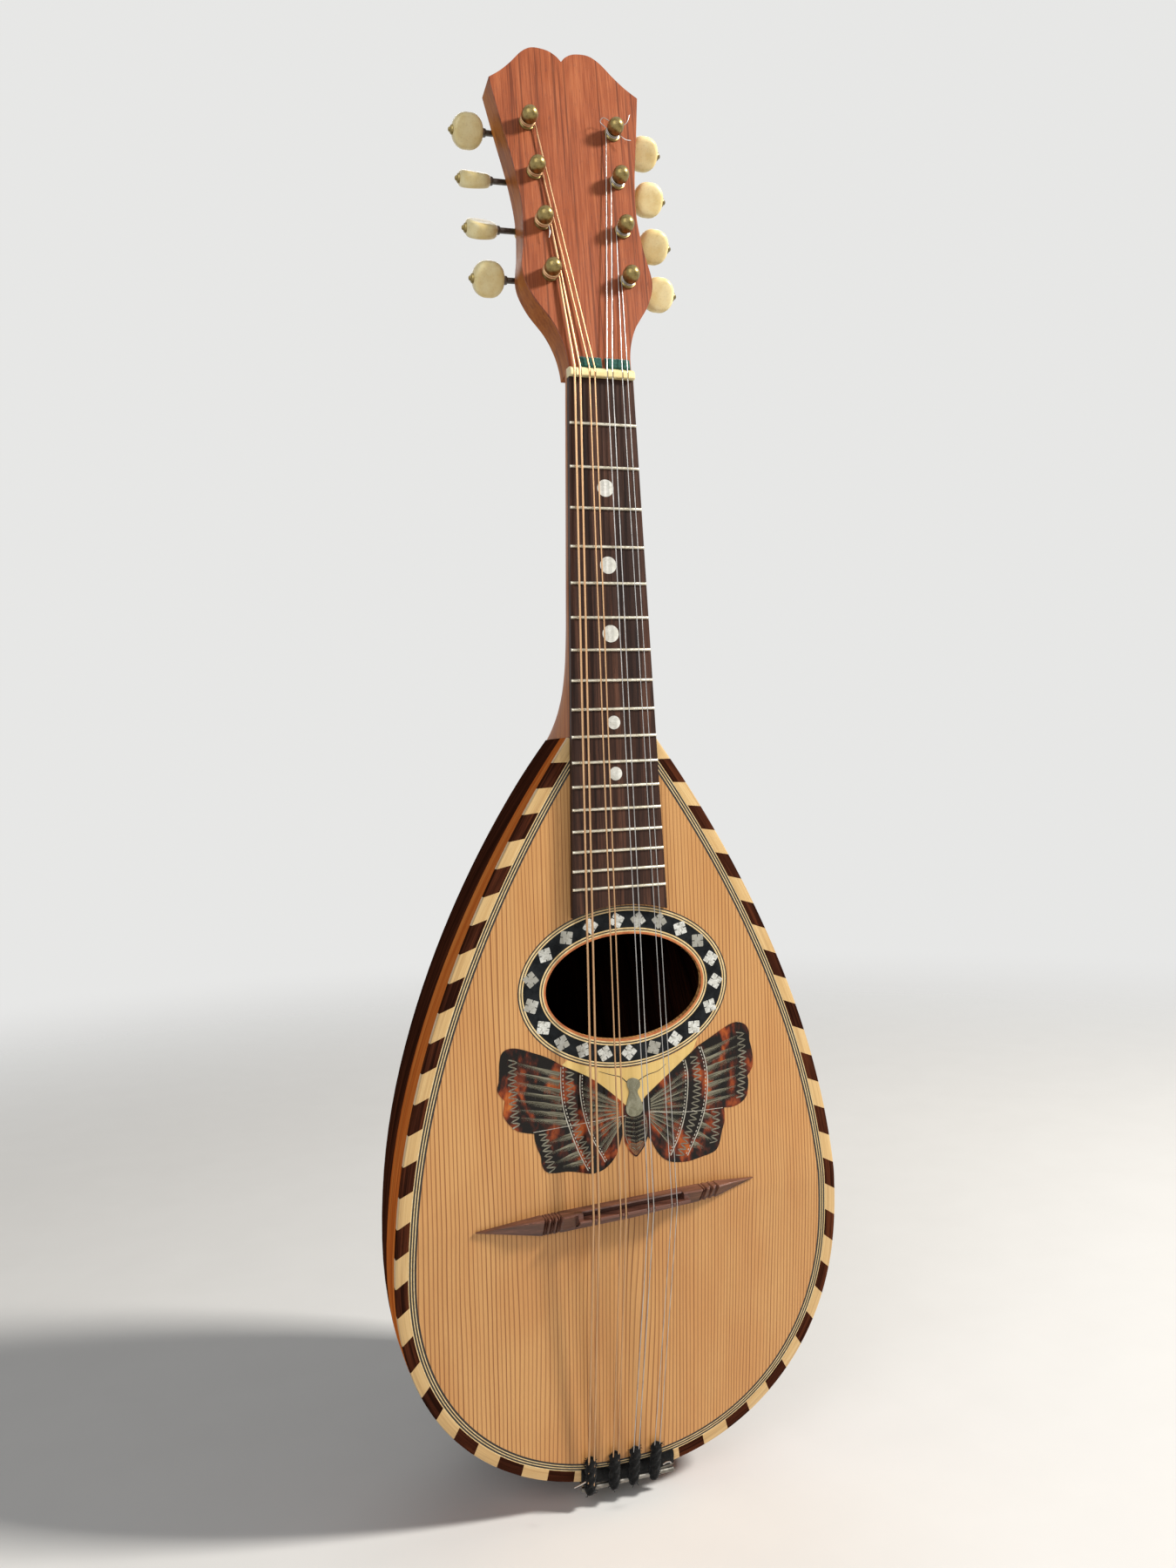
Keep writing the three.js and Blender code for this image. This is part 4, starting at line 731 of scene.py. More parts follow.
leftWing = [
    (-26.8, 59.9), (-30.7, 62.5), (-34.6, 64.6), (-39.3, 66.5), (-43.2, 68.1), (-47.1, 69.0), (-50.2, 68.5),
    (-51.8, 66.9), (-52.6, 64.0), (-52.9, 59.9), (-53.2, 56.1), (-53.9, 53.2), (-53.1, 50.8), (-51.0, 48.4),
    (-51.5, 45.3), (-51.8, 42.7), (-50.5, 39.9), (-48.3, 37.3), (-46.0, 35.5), (-42.9, 34.5), (-39.4, 33.7),
    (-39.1, 30.7), (-38.3, 27.6), (-37.0, 24.3), (-36.7, 21.2), (-35.6, 18.4), (-33.3, 17.0), (-30.1, 16.6),
    (-26.0, 16.6), (-21.2, 15.6), (-16.4, 14.3), (-13.1, 14.4), (-9.8, 15.5), (-6.8, 17.8), (-4.6, 20.6), (-3.3, 23.6),
    (-2.3, 26.6), (-1.7, 28.4)]
abdomenTip = [(-1.7, 28.4), (-0.7, 24.8), (1.2, 21.0), (3.9, 18.5), (5.8, 20.0), (8.0, 22.8), (9.4, 26.2)]
rightWing = [
    (9.4, 26.2), (11.0, 24.0), (12.6, 20.6), (15.0, 17.1), (18.3, 14.7), (22.1, 13.7), (27.3, 13.4), (32.5, 14.3),
    (37.8, 15.4), (40.4, 16.8), (41.9, 19.8), (42.9, 23.7), (44.2, 27.6), (44.5, 31.2), (44.2, 33.9), (48.1, 33.7),
    (51.7, 34.7), (54.5, 36.8), (55.7, 39.9), (56.1, 43.9), (55.7, 46.0), (58.1, 49.4), (58.5, 53.4), (58.1, 57.5),
    (57.2, 61.6), (57.1, 64.9), (55.6, 67.9), (52.2, 69.4), (49.0, 69.1), (45.0, 67.4), (40.5, 65.0), (36.1, 62.7),
    (33.4, 61.4)]
rightTop = [(33.4, 61.4), (23.6, 54.1), (14.9, 47.6), (8.8, 42.8), (8.0, 40.9)]
leftTop = [(-0.1, 40.4), (-2.1, 42.6), (-8.5, 48.5), (-15.7, 54.0), (-26.8, 59.9)]


# A smooth line through points that were read off with the hole's middle at drawnY
def drawn(points, steps=4):
    return smoothed([(x, y + (holeY - hole.drawnY)) for x, y in points], steps)


def arcY(x, halfWide, halfTall):
    return halfTall * sqrt(1 - ((x - holeX) / halfWide) ** 2)


inlay = Look(proud=0.16, sunk=-0.6, top=0.2, line=0.38, zigzag=0.5, tooth=2.5, swing=1.8, dashAside=0.95, bodyX=4.15)
# smooth stretches of the outline; the wings have corners between them
stretches = [leftWing[:14], leftWing[13:21], leftWing[20:], abdomenTip, rightWing[:15], rightWing[14:21],
             rightWing[20:], rightTop, [rightTop[-1], leftTop[0]], leftTop]
single(plate([p for stretch in stretches for p in drawn(stretch, 3)[:-1]], inlay.sunk, inlay.proud),
       "butterfly_shell", "shell", "tortoiseshell", "pickguard", bevel=0.5,
       grain=lambda p: (p[1] * 0.8, p[0], p[2]))

panelLook = Look(left=-26.8, right=33.4, halfWide=45.95, halfTall=33.45, room=0.05, steps=24, low=-0.5, high=0.04)
arcPlaces = [panelLook.right - (panelLook.right - panelLook.left) * i / panelLook.steps
             for i in range(panelLook.steps)]
panel = drawn(leftTop[::-1], 3) + drawn(rightTop[::-1], 3)[:-1] + [
    (x, holeY - arcY(x, panelLook.halfWide, panelLook.halfTall) - panelLook.room) for x in arcPlaces]
single(plate(panel, panelLook.low, panelLook.high), "pickguard_panel", "panelWood", "maple", "pickguard")

doubleLines = [
    [(-27.2, 59.2), (-27.5, 51.5), (-26.7, 42.2), (-23.8, 31.8), (-20.5, 22.8), (-17.1, 15.7)],
    [(-19.1, 55.1), (-19.4, 48.2), (-18.3, 39.6), (-15.8, 30.7), (-12.7, 24.1), (-9.7, 18.2)],
    [(27.2, 56.1), (28.2, 50.4), (27.9, 42.5), (26.3, 33.1), (23.4, 24.7), (19.2, 16.9)],
    [(34.7, 60.8), (36.6, 54.2), (37.2, 46.1), (36.0, 36.7), (33.0, 27.4), (26.9, 15.9)]]
zigzags = [
    [(-23.7, 57.2), (-23.6, 48.7), (-22.4, 38.5), (-19.9, 28.9), (-15.8, 19.1)],
    [(31.1, 57.3), (32.5, 49.9), (32.2, 41.9), (30.1, 31.8), (26.8, 23.5), (23.1, 16.0)],
    [(-47.2, 64.5), (-47.6, 53.9), (-47.5, 46.3), (-46.7, 37.1)],
    [(-35.8, 33.4), (-34.4, 27.8), (-33.5, 22.3), (-32.4, 17.5)],
    [(52.9, 65.3), (53.5, 58.0), (53.6, 49.9), (51.8, 37.1)],
    [(40.6, 32.9), (40.4, 27.3), (38.8, 19.4)]]
divides = [[(-39.7, 34.3), (-20.5, 35.2), (0.1, 36.0)], [(10.2, 36.3), (27.2, 34.2), (43.7, 33.9)]]
silver, dull = Gathered(), Gathered()
for line in doubleLines:
    path = resampled(drawn(line), 60)
    dashes = resampled([(x - copysign(inlay.dashAside, x - 3), y) for x, y in path], 58)
    for part in [path, *[dashes[k:k + 2] for k in range(0, 57, 2)]]:
        silver.add(ribbon(part, inlay.line, 0, inlay.top))
for line in divides:
    silver.add(ribbon(resampled(drawn(line), 24), 0.22, 0, inlay.top + 0.02))
for line in zigzags:
    path = drawn(line)
    teeth = max(3, round(alongLengths(path)[-1] / inlay.tooth) * 2)
    zig = resampled(path, teeth)
    swung = []
    for k, (x, y) in enumerate(zig):
        ahead = (Vector(zig[min(k + 1, teeth)]) - Vector(zig[max(k - 1, 0)])).normalized()
        swing = inlay.swing * (1 if k % 2 else -1) * (0.85 + 0.25 * rng.random())
        swung.append((x - ahead.y * swing, y + ahead.x * swing))
    path = smoothed(swung, 3)
    dull.add(ribbon(path, [inlay.zigzag * (0.75 + 0.5 * rng.random()) for _ in path], 0, inlay.top + 0.01))
silver.piece("butterfly_lines", "silverInlay", "pearl", "pickguard")
dull.piece("butterfly_zigzags", "dullInlay", "pearl", "pickguard")

# tapered strips: eleven across each outer wing, and a fan from the body to the inner line
veins = Gathered()


def wedge(start, end, startWidth, endWidth, fade):
    path = [tuple(start.lerp(end, k / 8)) for k in range(9)]
    widths = [(startWidth + (endWidth - startWidth) * k / 8) * (0.9 + 0.2 * rng.random()) for k in range(9)]
    veins.add(ribbon(path, widths, 0, inlay.top - 0.02), grain=[
        (k / 8 * 10 * abs(fade), copysign(side, side * fade), start.y * 3 + start.x)
        for k in range(9) for side in (1, 1, -1, -1)])


outerFans = [
    (doubleLines[0], [(-49.5, 66.0), (-50.5, 58.0), (-50.8, 52.5), (-49.5, 45.5), (-47.5, 39.5)], 0.04, 0.56, 7),
    (doubleLines[0], [(-36.5, 31.0), (-35.0, 26.0), (-33.5, 19.8), (-27.0, 18.2)], 0.6, 0.95, 4),
    (doubleLines[3], [(54.0, 66.5), (55.5, 58.0), (55.0, 51.0), (53.5, 42.0), (51.0, 37.0)], 0.03, 0.56, 7),
    (doubleLines[3], [(42.0, 31.5), (40.5, 26.0), (39.0, 19.5), (33.0, 16.5)], 0.58, 0.93, 4)]
innerFans = [(doubleLines[1], (-1.2, 38.2), 0.05, 0.95, 10), (doubleLines[2], (9.2, 38.0), 0.05, 0.95, 10)]
for line, far, low, high, count in outerFans + innerFans:
    base, tips = [resampled(drawn(path), 100) if isinstance(path, list) else None for path in (line, far)]
    for middle in [k + 0.5 for k in range(count)]:
        share = low + (high - low) * middle / count
        foot = Vector(base[round(100 * share)])
        if tips:
            tip = foot.lerp(Vector(tips[round(100 * middle / count)]), 0.86)
            wedge(foot + (tip - foot) * 0.03, tip, 3.0, 1.0, -1 if foot.x < 0 else 1)
        else:
            near = Vector((far[0], far[1] + (holeY - hole.drawnY) - 7 * (share - 0.42)))
            wedge(near.lerp(foot, 0.1), near.lerp(foot, 0.94), 0.8, 2.5, 0.85 if foot.x < 0 else -0.85)
# curved stripes across the abdomen, a light line down each side of it, and its amber tip
for k, half in enumerate((4.3, 4.7, 4.9, 4.8, 4.4, 3.7, 2.8, 1.8)):
    path = drawn([(inlay.bodyX + half * share, 34.6 - k * 1.85 + lift)
                  for share, lift in ((-1, 0.9), (-0.5, 0.1), (0, -0.5), (0.5, 0.1), (1, 0.9))])
    widths = [0.35 + 0.75 * sin(pi * (i + 0.5) / len(path)) for i in range(len(path))]
    middle = (len(path) - 1) / 2
    veins.add(ribbon(path, widths, 0, inlay.top), grain=[
        (9 - 7 * abs(i / middle - 1), side, k * 3) for i in range(len(path)) for side in (1, 1, -1, -1)])
veins.piece("butterfly_veins", "vein", "pearl", "pickguard")
edges = Gathered()
for hand in (-1, 1):
    path = drawn([(4.2 + hand * x, y) for x, y in ((4.4, 35.2), (4.9, 31.5), (4.7, 28.0), (3.6, 24.4))])
    edges.add(ribbon(path, 0.28, 0, inlay.top + 0.01))
edges.piece("butterfly_edges", "dullInlay", "pearl", "pickguard")
tip = [(0.4, 23.6), (2.2, 24.6), (4.2, 24.0), (6.2, 24.9), (7.9, 24.0), (6.5, 21.6), (5.0, 19.9), (3.9, 19.2),
       (2.3, 20.7), (0.4, 23.6)]
single(plate(drawn(tip, 2)[:-1], -0.2, inlay.top - 0.01), "butterfly_tip", "amber", "tortoiseshell", "pickguard")
thorax = [(1.0, 48.1), (1.1, 50.4), (3.6, 51.3), (6.5, 49.8), (6.7, 47.4), (5.5, 45.2), (7.2, 41.0), (7.7, 37.8),
          (6.0, 35.7), (3.4, 35.2), (1.0, 36.3), (0.1, 38.8), (1.0, 42.6), (1.8, 45.6), (1.0, 48.1)]
single(plate(drawn(thorax, 3)[:-1], -0.2, inlay.top + 0.15), "butterfly_thorax", "bodyPearl", "pearl", "pickguard",
       bevel=0.3)
feelers = Gathered()
for line in ([(1.1, 49.6), (-1.7, 52.2), (-5.8, 53.6), (-11.1, 55.6)],
             [(6.1, 49.8), (10.0, 51.7), (15.1, 52.9), (18.6, 55.3)]):
    feelers.add(ribbon(resampled(drawn(line), 20), [0.42 - 0.012 * k for k in range(21)], 0, 0.07))
feelers.piece("butterfly_feelers", "lineBlack", "rosewood", "pickguard")
print("pickguard made")

# Neck, fingerboard, frets and nut

slope = (neck.lastHalf - neck.nutHalf) / (neck.nutY - fretY(neck.frets))


def boardHalf(y):
    return neck.nutHalf + (neck.nutY - y) * slope


heelDepth = body.depth * (body.shoulder / body.halfWidth) ** body.sweep
heelTop = body.jointY + neck.heel
rings = []
for k in range(41):
    y = body.jointY + 0.05 + (headFoot + 0.25 - body.jointY) * (k / 40) ** 1.5
    heel = max(0, (heelTop - y) / neck.heel)
    depth = neck.depthAtNut + (neck.depthAtBody - neck.depthAtNut) * (neck.nutY - y) / (neck.nutY - heelTop)
    depth += (heelDepth - depth) * heel ** 3
    half = boardHalf(min(y, neck.nutY))
    section = [fullCurve(pi * i / 28, 2 / (2 + (body.fullness - 2) * heel)) for i in range(29)]
    rings.append([(half * across, y, -depth * down) for across, down in section])
single(loft(rings), "neck_wood", "neckWood", "headwood", "neck")

boardEnd = Look(halfWide=45.8, halfTall=33.4, gap=0.6, steps=24)
endHalf = boardHalf(holeY + boardEnd.halfTall)
end = [(x, holeY + arcY(x, boardEnd.halfWide, boardEnd.halfTall) + boardEnd.gap)
       for x in [endHalf * (1 - 2 * i / boardEnd.steps) for i in range(boardEnd.steps + 1)]]
single(plate([(-neck.nutHalf, neck.nutY), (neck.nutHalf, neck.nutY), *end], 0.0, neck.boardTop),
       "fingerboard_wood", "fretWood", "dark_rosewood", "fingerboard", bevel=0.25)

fretBar = Look(halfWidth=1.35 / 2, height=1.0, inset=0.15, ends=((0, 0.5), (0.35, 0.9), (0.8, 1)))
frets = Gathered()
for fret in range(1, neck.frets + 1):
    half = boardHalf(fretY(fret)) - fretBar.inset
    stations = [(x - half, share) for x, share in fretBar.ends] + [(half - x, share) for x, share in fretBar.ends[::-1]]
    frets.add(loft([[(x, fretY(fret) + cos(pi * k / 8) * fretBar.halfWidth,
                      neck.boardTop - 0.1 + sin(pi * k / 8) * fretBar.height * share) for k in range(9)]
                    for x, share in stations]))
frets.piece("frets", "fretMetal", "steel", "fingerboard")

dots = Gathered()
for space, size in ((3, 7), (5, 7), (7, 7), (10, 5.5), (12, 5.5)):
    outline = oval(size / 2, size / 2, 0, (fretY(space) + fretY(space - 1)) / 2, 40)
    dots.add(plate(outline, neck.boardTop - 0.5, neck.boardTop + 0.03),
             grain=lambda p: (p[0] * 0.45 + space * 9, p[1] * 0.45, 0))
dots.piece("position_dots", "dotPearl", "pearl", "fingerboard")

# Strings

wires = Look(gauges=(0.95, 0.66, 0.42, 0.34), nut=(-0.78, -0.33, 0.22, 0.69), bridge=(-0.78, -0.25, 0.3, 0.77),
             tail=(-0.82, -0.31, 0.11, 0.56), spread=2.3, saddleHalf=22, tailHalf=21, bridgeTop=8.3, ridgeY=-1.3,
             turns=2.1, turnSteps=26, pitch=0.55, foot=0.95, coil=2.75, bead=1.1, hookDepth=14)
tuner = Look(first=42, pitch=23.8, x=16.9, flare=radians(1.7), plate=0.9, inside=6, outside=6.4, teeth=14,
             thread=2.35, wormRadius=2.4, addendum=0.6, clearance=0.3, gearThick=3, wormLift=3.4, wormTurns=3,
             shaft=1.3, lug=1.1, lugSpan=9.2, reach=20.9, buttonLong=13.4, buttonWide=14.5, buttonThick=7.3)
gearRadius = tuner.teeth * tuner.thread / (2 * pi)
wormOffset = gearRadius + tuner.wormRadius
wormDepth = head.thickness + 0.3 + tuner.plate + tuner.wormLift
tailY = body.widestY - body.tailLength
beadY = tailY * cos(cant) - 1.3
beadZ = tailY * sin(cant) + wires.bead / 2


def postPlace(hand, index):
    return Vector((hand * (tuner.x + index * tuner.pitch * tan(tuner.flare)), tuner.first + index * tuner.pitch))


headInFace = toRow.inverted() @ toHead


# Where a string touches its post, its turns round it, and its end in the post's hole
def windingPath(radius, hand, rank, overNut):
    start, centre = (headInFace.inverted() @ overNut).xy, postPlace(hand, rank)
    coil, run = wires.coil + radius, centre - start
    bearing = atan2(run.y, run.x) + hand * asin(coil / run.length)
    touch = start + Vector((cos(bearing), sin(bearing))) * sqrt(run.length ** 2 - coil ** 2)
    first = atan2(touch.y - centre.y, touch.x - centre.x)
    path = []
    for turn in [i / wires.turnSteps for i in range(round(wires.turns * wires.turnSteps) + 1)]:
        angle = first - hand * 2 * pi * turn
        path.append((centre.x + coil * cos(angle), centre.y + coil * sin(angle), turn))
    path.append((centre.x, centre.y, wires.turns))
    return [headInFace @ Vector((x, y, wires.foot + radius + (wires.pitch + radius) * turn)) for x, y, turn in path]


strings = []
for course, note in enumerate("gdae"):
    for member, side in enumerate((-1, 1)):
        radius, spread = wires.gauges[course] / 2, side * wires.spread / 2
        hand, index = -1 if course < 2 else 1, 2 * course + member
        nutX = wires.nut[course] * neck.nutHalf + spread
        bridgeX = wires.bridge[course] * wires.saddleHalf + spread
        tailX = wires.tail[course] * wires.tailHalf + spread
        over = wires.bead + 0.3 + radius
        saddle = Vector((bridgeX, wires.ridgeY, wires.bridgeTop))
        nutPoint, overNut = [Vector((nutX, y, neck.stringAtNut)) for y in (neck.nutY, headFoot + 0.3)]
        path = [Vector((tailX, beadY - over, beadZ - z)) for z in (wires.hookDepth, 1)]
        path += [Vector((tailX, beadY - over * cos(a), beadZ + over * sin(a))) for a in (0, pi / 6, pi / 3, pi / 2)]
        path += [path[-1].lerp(saddle, k / 12) for k in range(1, 13)]
        path += [saddle.lerp(nutPoint, k / 30) for k in range(1, 31)]
        path += [overNut, *windingPath(radius, hand, index if hand < 0 else 7 - index, overNut)]
        strings.append(Look(name=f"{note}{member + 1}", metal="bronze" if hand < 0 else "steel", radius=radius,
                            nutX=nutX, bridgeX=bridgeX, tailX=tailX, path=path))
for string in strings:
    single(tube(string.path, string.radius, 10), f"wire_{string.name}", string.metal, string.metal,
           f"string_{string.name}", grain=[(length, k, 0) for length in alongLengths(string.path) for k in range(10)])
print("strings made")

# Nut: rounded bone with a slot for each string
nut = Look(top=5.2, slotRoom=0.12, slotWall=0.02, slotDepth=0.9, edge=0.3, endDrop=0.4)
levels = {side * (neck.nutHalf - inset): nut.top - lower
          for side in (-1, 1) for inset, lower in ((0, nut.endDrop), (nut.edge, 0))}
for string in strings:
    half, floor = string.radius + nut.slotRoom, neck.stringAtNut - string.radius * nut.slotDepth
    for x, level in ((-half - nut.slotWall, nut.top), (-half, floor), (half, floor), (half + nut.slotWall, nut.top)):
        levels[string.nutX + x] = level
y0, y1 = neck.nutY + 0.02, headFoot
rings = [[(x, y0, 0.0), (x, y0, level - 0.35), (x, y0 + 0.35, level), (x, (y0 + y1) / 2, level),
          (x, y1 - 0.8, level - 0.35), (x, y1, level - 1.3), (x, y1, 0.0)] for x, level in sorted(levels.items())]
single(loft(rings), "nut_bone", "bone", "bone", "nut", sharp=30)
print("neck made")

# Headstock

sideShares = [(0.4, -0.03), (0.405, 0.03), (0.45, 0.085), (0.55, 0.14), (0.745, 0.207), (0.848, 0.28), (0.79, 0.376),
              (0.757, 0.482), (0.8, 0.6), (0.905, 0.744), (1, 0.88)]
topShares = [(1, 0.88), (0.84, 0.907), (0.69, 0.94), (0.53, 0.98), (0.38, 1), (0.19, 0.998), (0.07, 0.984), (0, 0.966)]
sideLine, topLine = [smoothed([(x * head.halfWidth, y * head.length) for x, y in shares], steps)
                     for shares, steps in ((sideShares, 6), (topShares, 5))]
sideLine = [p for p in sideLine if p[1] > head.foot]
headOutline = bothSides([(sideLine[0][0], head.foot)] + sideLine + topLine[1:])
postHoles = [oval(head.postHole, head.postHole, *postPlace(hand, i)) for hand in (-1, 1) for i in range(4)]
single(plate(headOutline, -head.veneer, 0, postHoles), "headstock_face", "headFace", "headwood", "headstock",
       matrix=toHead, grain=lambda p: (p[1] + p[0] * 0.05, p[0] - p[1] * 0.05, p[2]), bevel=0.45)
single(plate(headOutline, -head.thickness, -head.veneer, postHoles), "headstock_core", "neckWood", "headwood",
       "headstock", matrix=toHead, bevel=0.8)

felt = Gathered()
columns, rows = 26, 10
across = columns + 1
for low, high in ((-8.8, 0.6), (2.2, 12.8)):
    points = []
    for r in range(rows + 1):
        for c in range(across):
            x = low + (high - low) * c / columns
            u = 0.35 + (4.6 + 0.5 * softNoise((x * 1.7, 3.1, 0))) * r / rows
            lift = 1.15 + 0.25 * softNoise((x * 1.3, u * 1.3, 5)) if min(c, columns - c, r, rows - r) else 0.7
            points.append((x + 0.15 * softNoise((u * 2, x, 1)), u, lift))
    count = len(points)
    points += [(x, y, 0.02) for x, y, _ in points]
    faces = []
    for a in [a for a in range(rows * across) if a % across < columns]:
        quad = [a, a + 1, a + across + 1, a + across]
        faces += [quad, [i + count for i in reversed(quad)]]
    border = [*range(columns), *[r * across + columns for r in range(rows)],
              *[rows * across + c for c in range(columns, 0, -1)], *[r * across for r in range(rows, 0, -1)]]
    faces += [[b, a, a + count, b + count] for a, b in zip(border, border[1:] + border[:1])]
    felt.add((points, faces), toHead)
felt.piece("felt_strip", "felt", "cloth", sharp=80)
print("headstock made")

# Tuners

capProfile = [
    (0, -wormDepth - 2.3), (2.0, -wormDepth - 2.3), (2.3, -wormDepth - 2.0), (2.3, 0.15), (3.35, 0.15), (3.5, 0.4),
    (3.35, 0.8), (2.75, 1.0), (2.65, 1.2), (2.6, 2.2), (2.65, 3.3), (2.8, 3.5), (3.2, 3.55), (3.42, 3.8), (3.5, 4.3),
    (3.5, 5.2), (3.44, 5.9), (3.25, 6.7), (2.85, 7.5), (2.25, 8.2), (1.55, 8.7), (0.8, 8.98), (0, 9.05)]


def gear():
    tip, root = gearRadius + tuner.addendum, gearRadius - tuner.addendum - tuner.clearance
    lean = tuner.thread / (2 * pi * tuner.wormRadius) / gearRadius
    flank = [(0.22, root), (0.3, root + 0.25), (0.4, tip - 0.12), (0.44, tip)]
    tooth = flank + [(1 - share, radius) for share, radius in flank[::-1]]
    rings = []
    for k in range(7):
        z = (k / 6 - 0.5) * tuner.gearThick
        pinch = 0.25 if k in (0, 6) else 0.0
        rings.append([])
        for share, radius in [(i + share, radius - pinch) for i in range(tuner.teeth) for share, radius in tooth]:
            angle = pi / 2 + 2 * pi * share / tuner.teeth + lean * z
            rings[-1].append((radius * cos(angle), radius * sin(angle), z - wormDepth))
    return loft(rings)


def thread():
    crest, root = tuner.wormRadius + tuner.addendum, tuner.wormRadius - tuner.addendum - tuner.clearance
    length, around, along = tuner.wormTurns * tuner.thread, 28, 66
    rings = []
    for x in [(i / along - 0.5) * length for i in range(along + 1)]:
        fade = min(1, (length / 2 - abs(x)) / 0.5)
        rings.append([])
        for angle in [2 * pi * k / around for k in range(around)]:
            off = x / tuner.thread - angle / (2 * pi) + 0.5
            share = 1 - min(max((abs(off - round(off)) - 0.09) / 0.14, 0), 1)
            radius = root + (crest - root) * share * fade
            rings[-1].append((x, radius * cos(angle), radius * sin(angle)))
    return loft(rings)


lugPlace = tuner.lugSpan / 2
buttonIn, buttonOut = tuner.reach - tuner.buttonLong / 2, tuner.reach + tuner.buttonLong / 2
shaftProfile = [(0, -lugPlace - 1.75), (1.0, -lugPlace - 1.75), (1.25, -lugPlace - 1.5), (1.25, buttonIn - 1.4),
                (1.7, buttonIn - 1.2), (1.9, buttonIn - 0.6), (1.9, buttonIn + 0.2), (0.95, buttonIn + 0.3),
                (0.95, buttonOut - 0.4), (0, buttonOut - 0.4)]
rivetProfile = [(radius, buttonOut + out) for radius, out in (
    (0, -0.8), (1.9, -0.8), (2.1, -0.1), (2.05, 0.35), (1.6, 0.8), (1.1, 1.0), (0.9, 1.5), (0.5, 1.75), (0, 1.8))]


# A round button whose faces look along z, a little thicker towards its outer end
def button():
    half = [(0.0, 0.93), (0.45, 0.95), (0.74, 0.97), (0.88, 0.9), (0.96, 0.68), (0.995, 0.35)]
    points, faces = turned([(radius, -z) for radius, z in half] + [(1.0, 0)] + half[::-1], 44)
    made = []
    for x, y, z in points:
        squared, swell = 1 + 0.06 * abs(x * y) * 2, 0.88 + 0.12 * x
        made.append((tuner.reach + x * squared * tuner.buttonLong / 2, y * squared * tuner.buttonWide / 2,
                     z * swell * tuner.buttonThick / 2))
    return made, faces


def lug():
    wall, lift, room = tuner.shaft + 0.3 + tuner.lug, tuner.wormLift + 0.3, tuner.shaft + 0.12
    foot = [(wall, 0), (wall, lift - 0.5), (wall + 0.5, lift)]
    outline = [(-x, y) for x, y in foot[::-1]] + [
        (wall * cos(pi + pi * k / 16), wall * sin(pi + pi * k / 16)) for k in range(1, 16)] + foot
    return plate(outline, 0, tuner.lug, [oval(room, room, steps=20)])


toX = Matrix.Rotation(pi / 2, 4, "Y")
facingX = Matrix(((0, 0, 1, 0), (1, 0, 0, 0), (0, 1, 0, 0), (0, 0, 0, 1)))
buttonTurns = {"bass": (-40, 42, 48, -38), "treble": (-36, -44, -38, -46)}
step = tuner.pitch / cos(tuner.flare)
screw = turned([(0, 0), (1.3, 0), (1.3, -0.35), (1.3 * 0.8, -0.75), (0, -0.95)], 24)
backing = Look(back=-head.thickness - 0.05, thick=1.15, corner=1.4, postHole=2.45, screwAside=2.6, screwAhead=5.3)
for side, hand in (("bass", -1), ("treble", 1)):
    row = toHead @ Matrix.Translation((*postPlace(hand, 0), 0)) @ Matrix.Rotation(-hand * tuner.flare, 4, "Z")
    margin = gearRadius + tuner.addendum
    low, high = -margin, 3 * step + wormOffset + margin
    left, right = (-tuner.outside, tuner.inside) if hand < 0 else (-tuner.inside, tuner.outside)
    cut = backing.corner
    outline = [(left, low + cut), (left + cut, low), (right - cut, low), (right, low + cut),
               (right, high - cut), (right - cut, high), (left + cut, high), (left, high - cut)]
    metal, screws = Gathered(), Gathered()
    metal.add(plate(outline, backing.back - backing.thick, backing.back,
                    [oval(backing.postHole, backing.postHole, 0, i * step) for i in range(4)]), row)
    for wormY in [i * step + wormOffset for i in range(4)]:
        for x in (lugPlace, -lugPlace - tuner.lug):
            metal.add(lug(), row @ Matrix.Translation((x, wormY, -wormDepth)) @ facingX)
        for x in (-backing.screwAside, backing.screwAside):
            screws.add(screw, row @ Matrix.Translation((x, wormY + backing.screwAhead, backing.back - backing.thick)))
    metal.piece(f"{side}_plate", "plateBrass", "brass", f"{side}_tuner_plate", bevel=0.18)
    screws.piece(f"{side}_plate_screws", "darkSteel", "brass")
    for i in range(4):
        at = row @ Matrix.Translation((0, i * step, 0))
        worm = at @ Matrix.Translation((0, wormOffset, -wormDepth))
        if hand < 0:
            worm = worm @ Matrix.Rotation(pi, 4, "Y")
        name, post, wormNode = f"{side}_{i + 1}", f"{side}_post_{i + 1}", f"{side}_worm_{i + 1}"
        single(turned(capProfile), f"post_{name}", "brass", "brass", post, rider=post, matrix=at, sharp=50)
        single(gear(), f"gear_{name}", "plateBrass", "brass", post, rider=post, matrix=at, sharp=32)
        Gathered().add(thread(), worm).add(turned(shaftProfile, 24), worm @ toX).piece(
            f"worm_{name}", "darkSteel", "brass", wormNode, rider=wormNode, sharp=50)
        single(turned(rivetProfile, 24), f"rivet_{name}", "brass", "brass", wormNode, rider=wormNode,
               matrix=worm @ toX, sharp=50)
        offset = i * 40 + (hand > 0) * 200
        single(button(), f"button_{name}", "bone", "bone", f"{side}_button_{i + 1}", rider=wormNode, sharp=60,
               matrix=worm @ Matrix.Rotation(-hand * radians(buttonTurns[side][i]), 4, "X"),
               grain=lambda p: (p[0] + offset, p[1] + offset, p[2]))
print("tuners made")

# Bridge

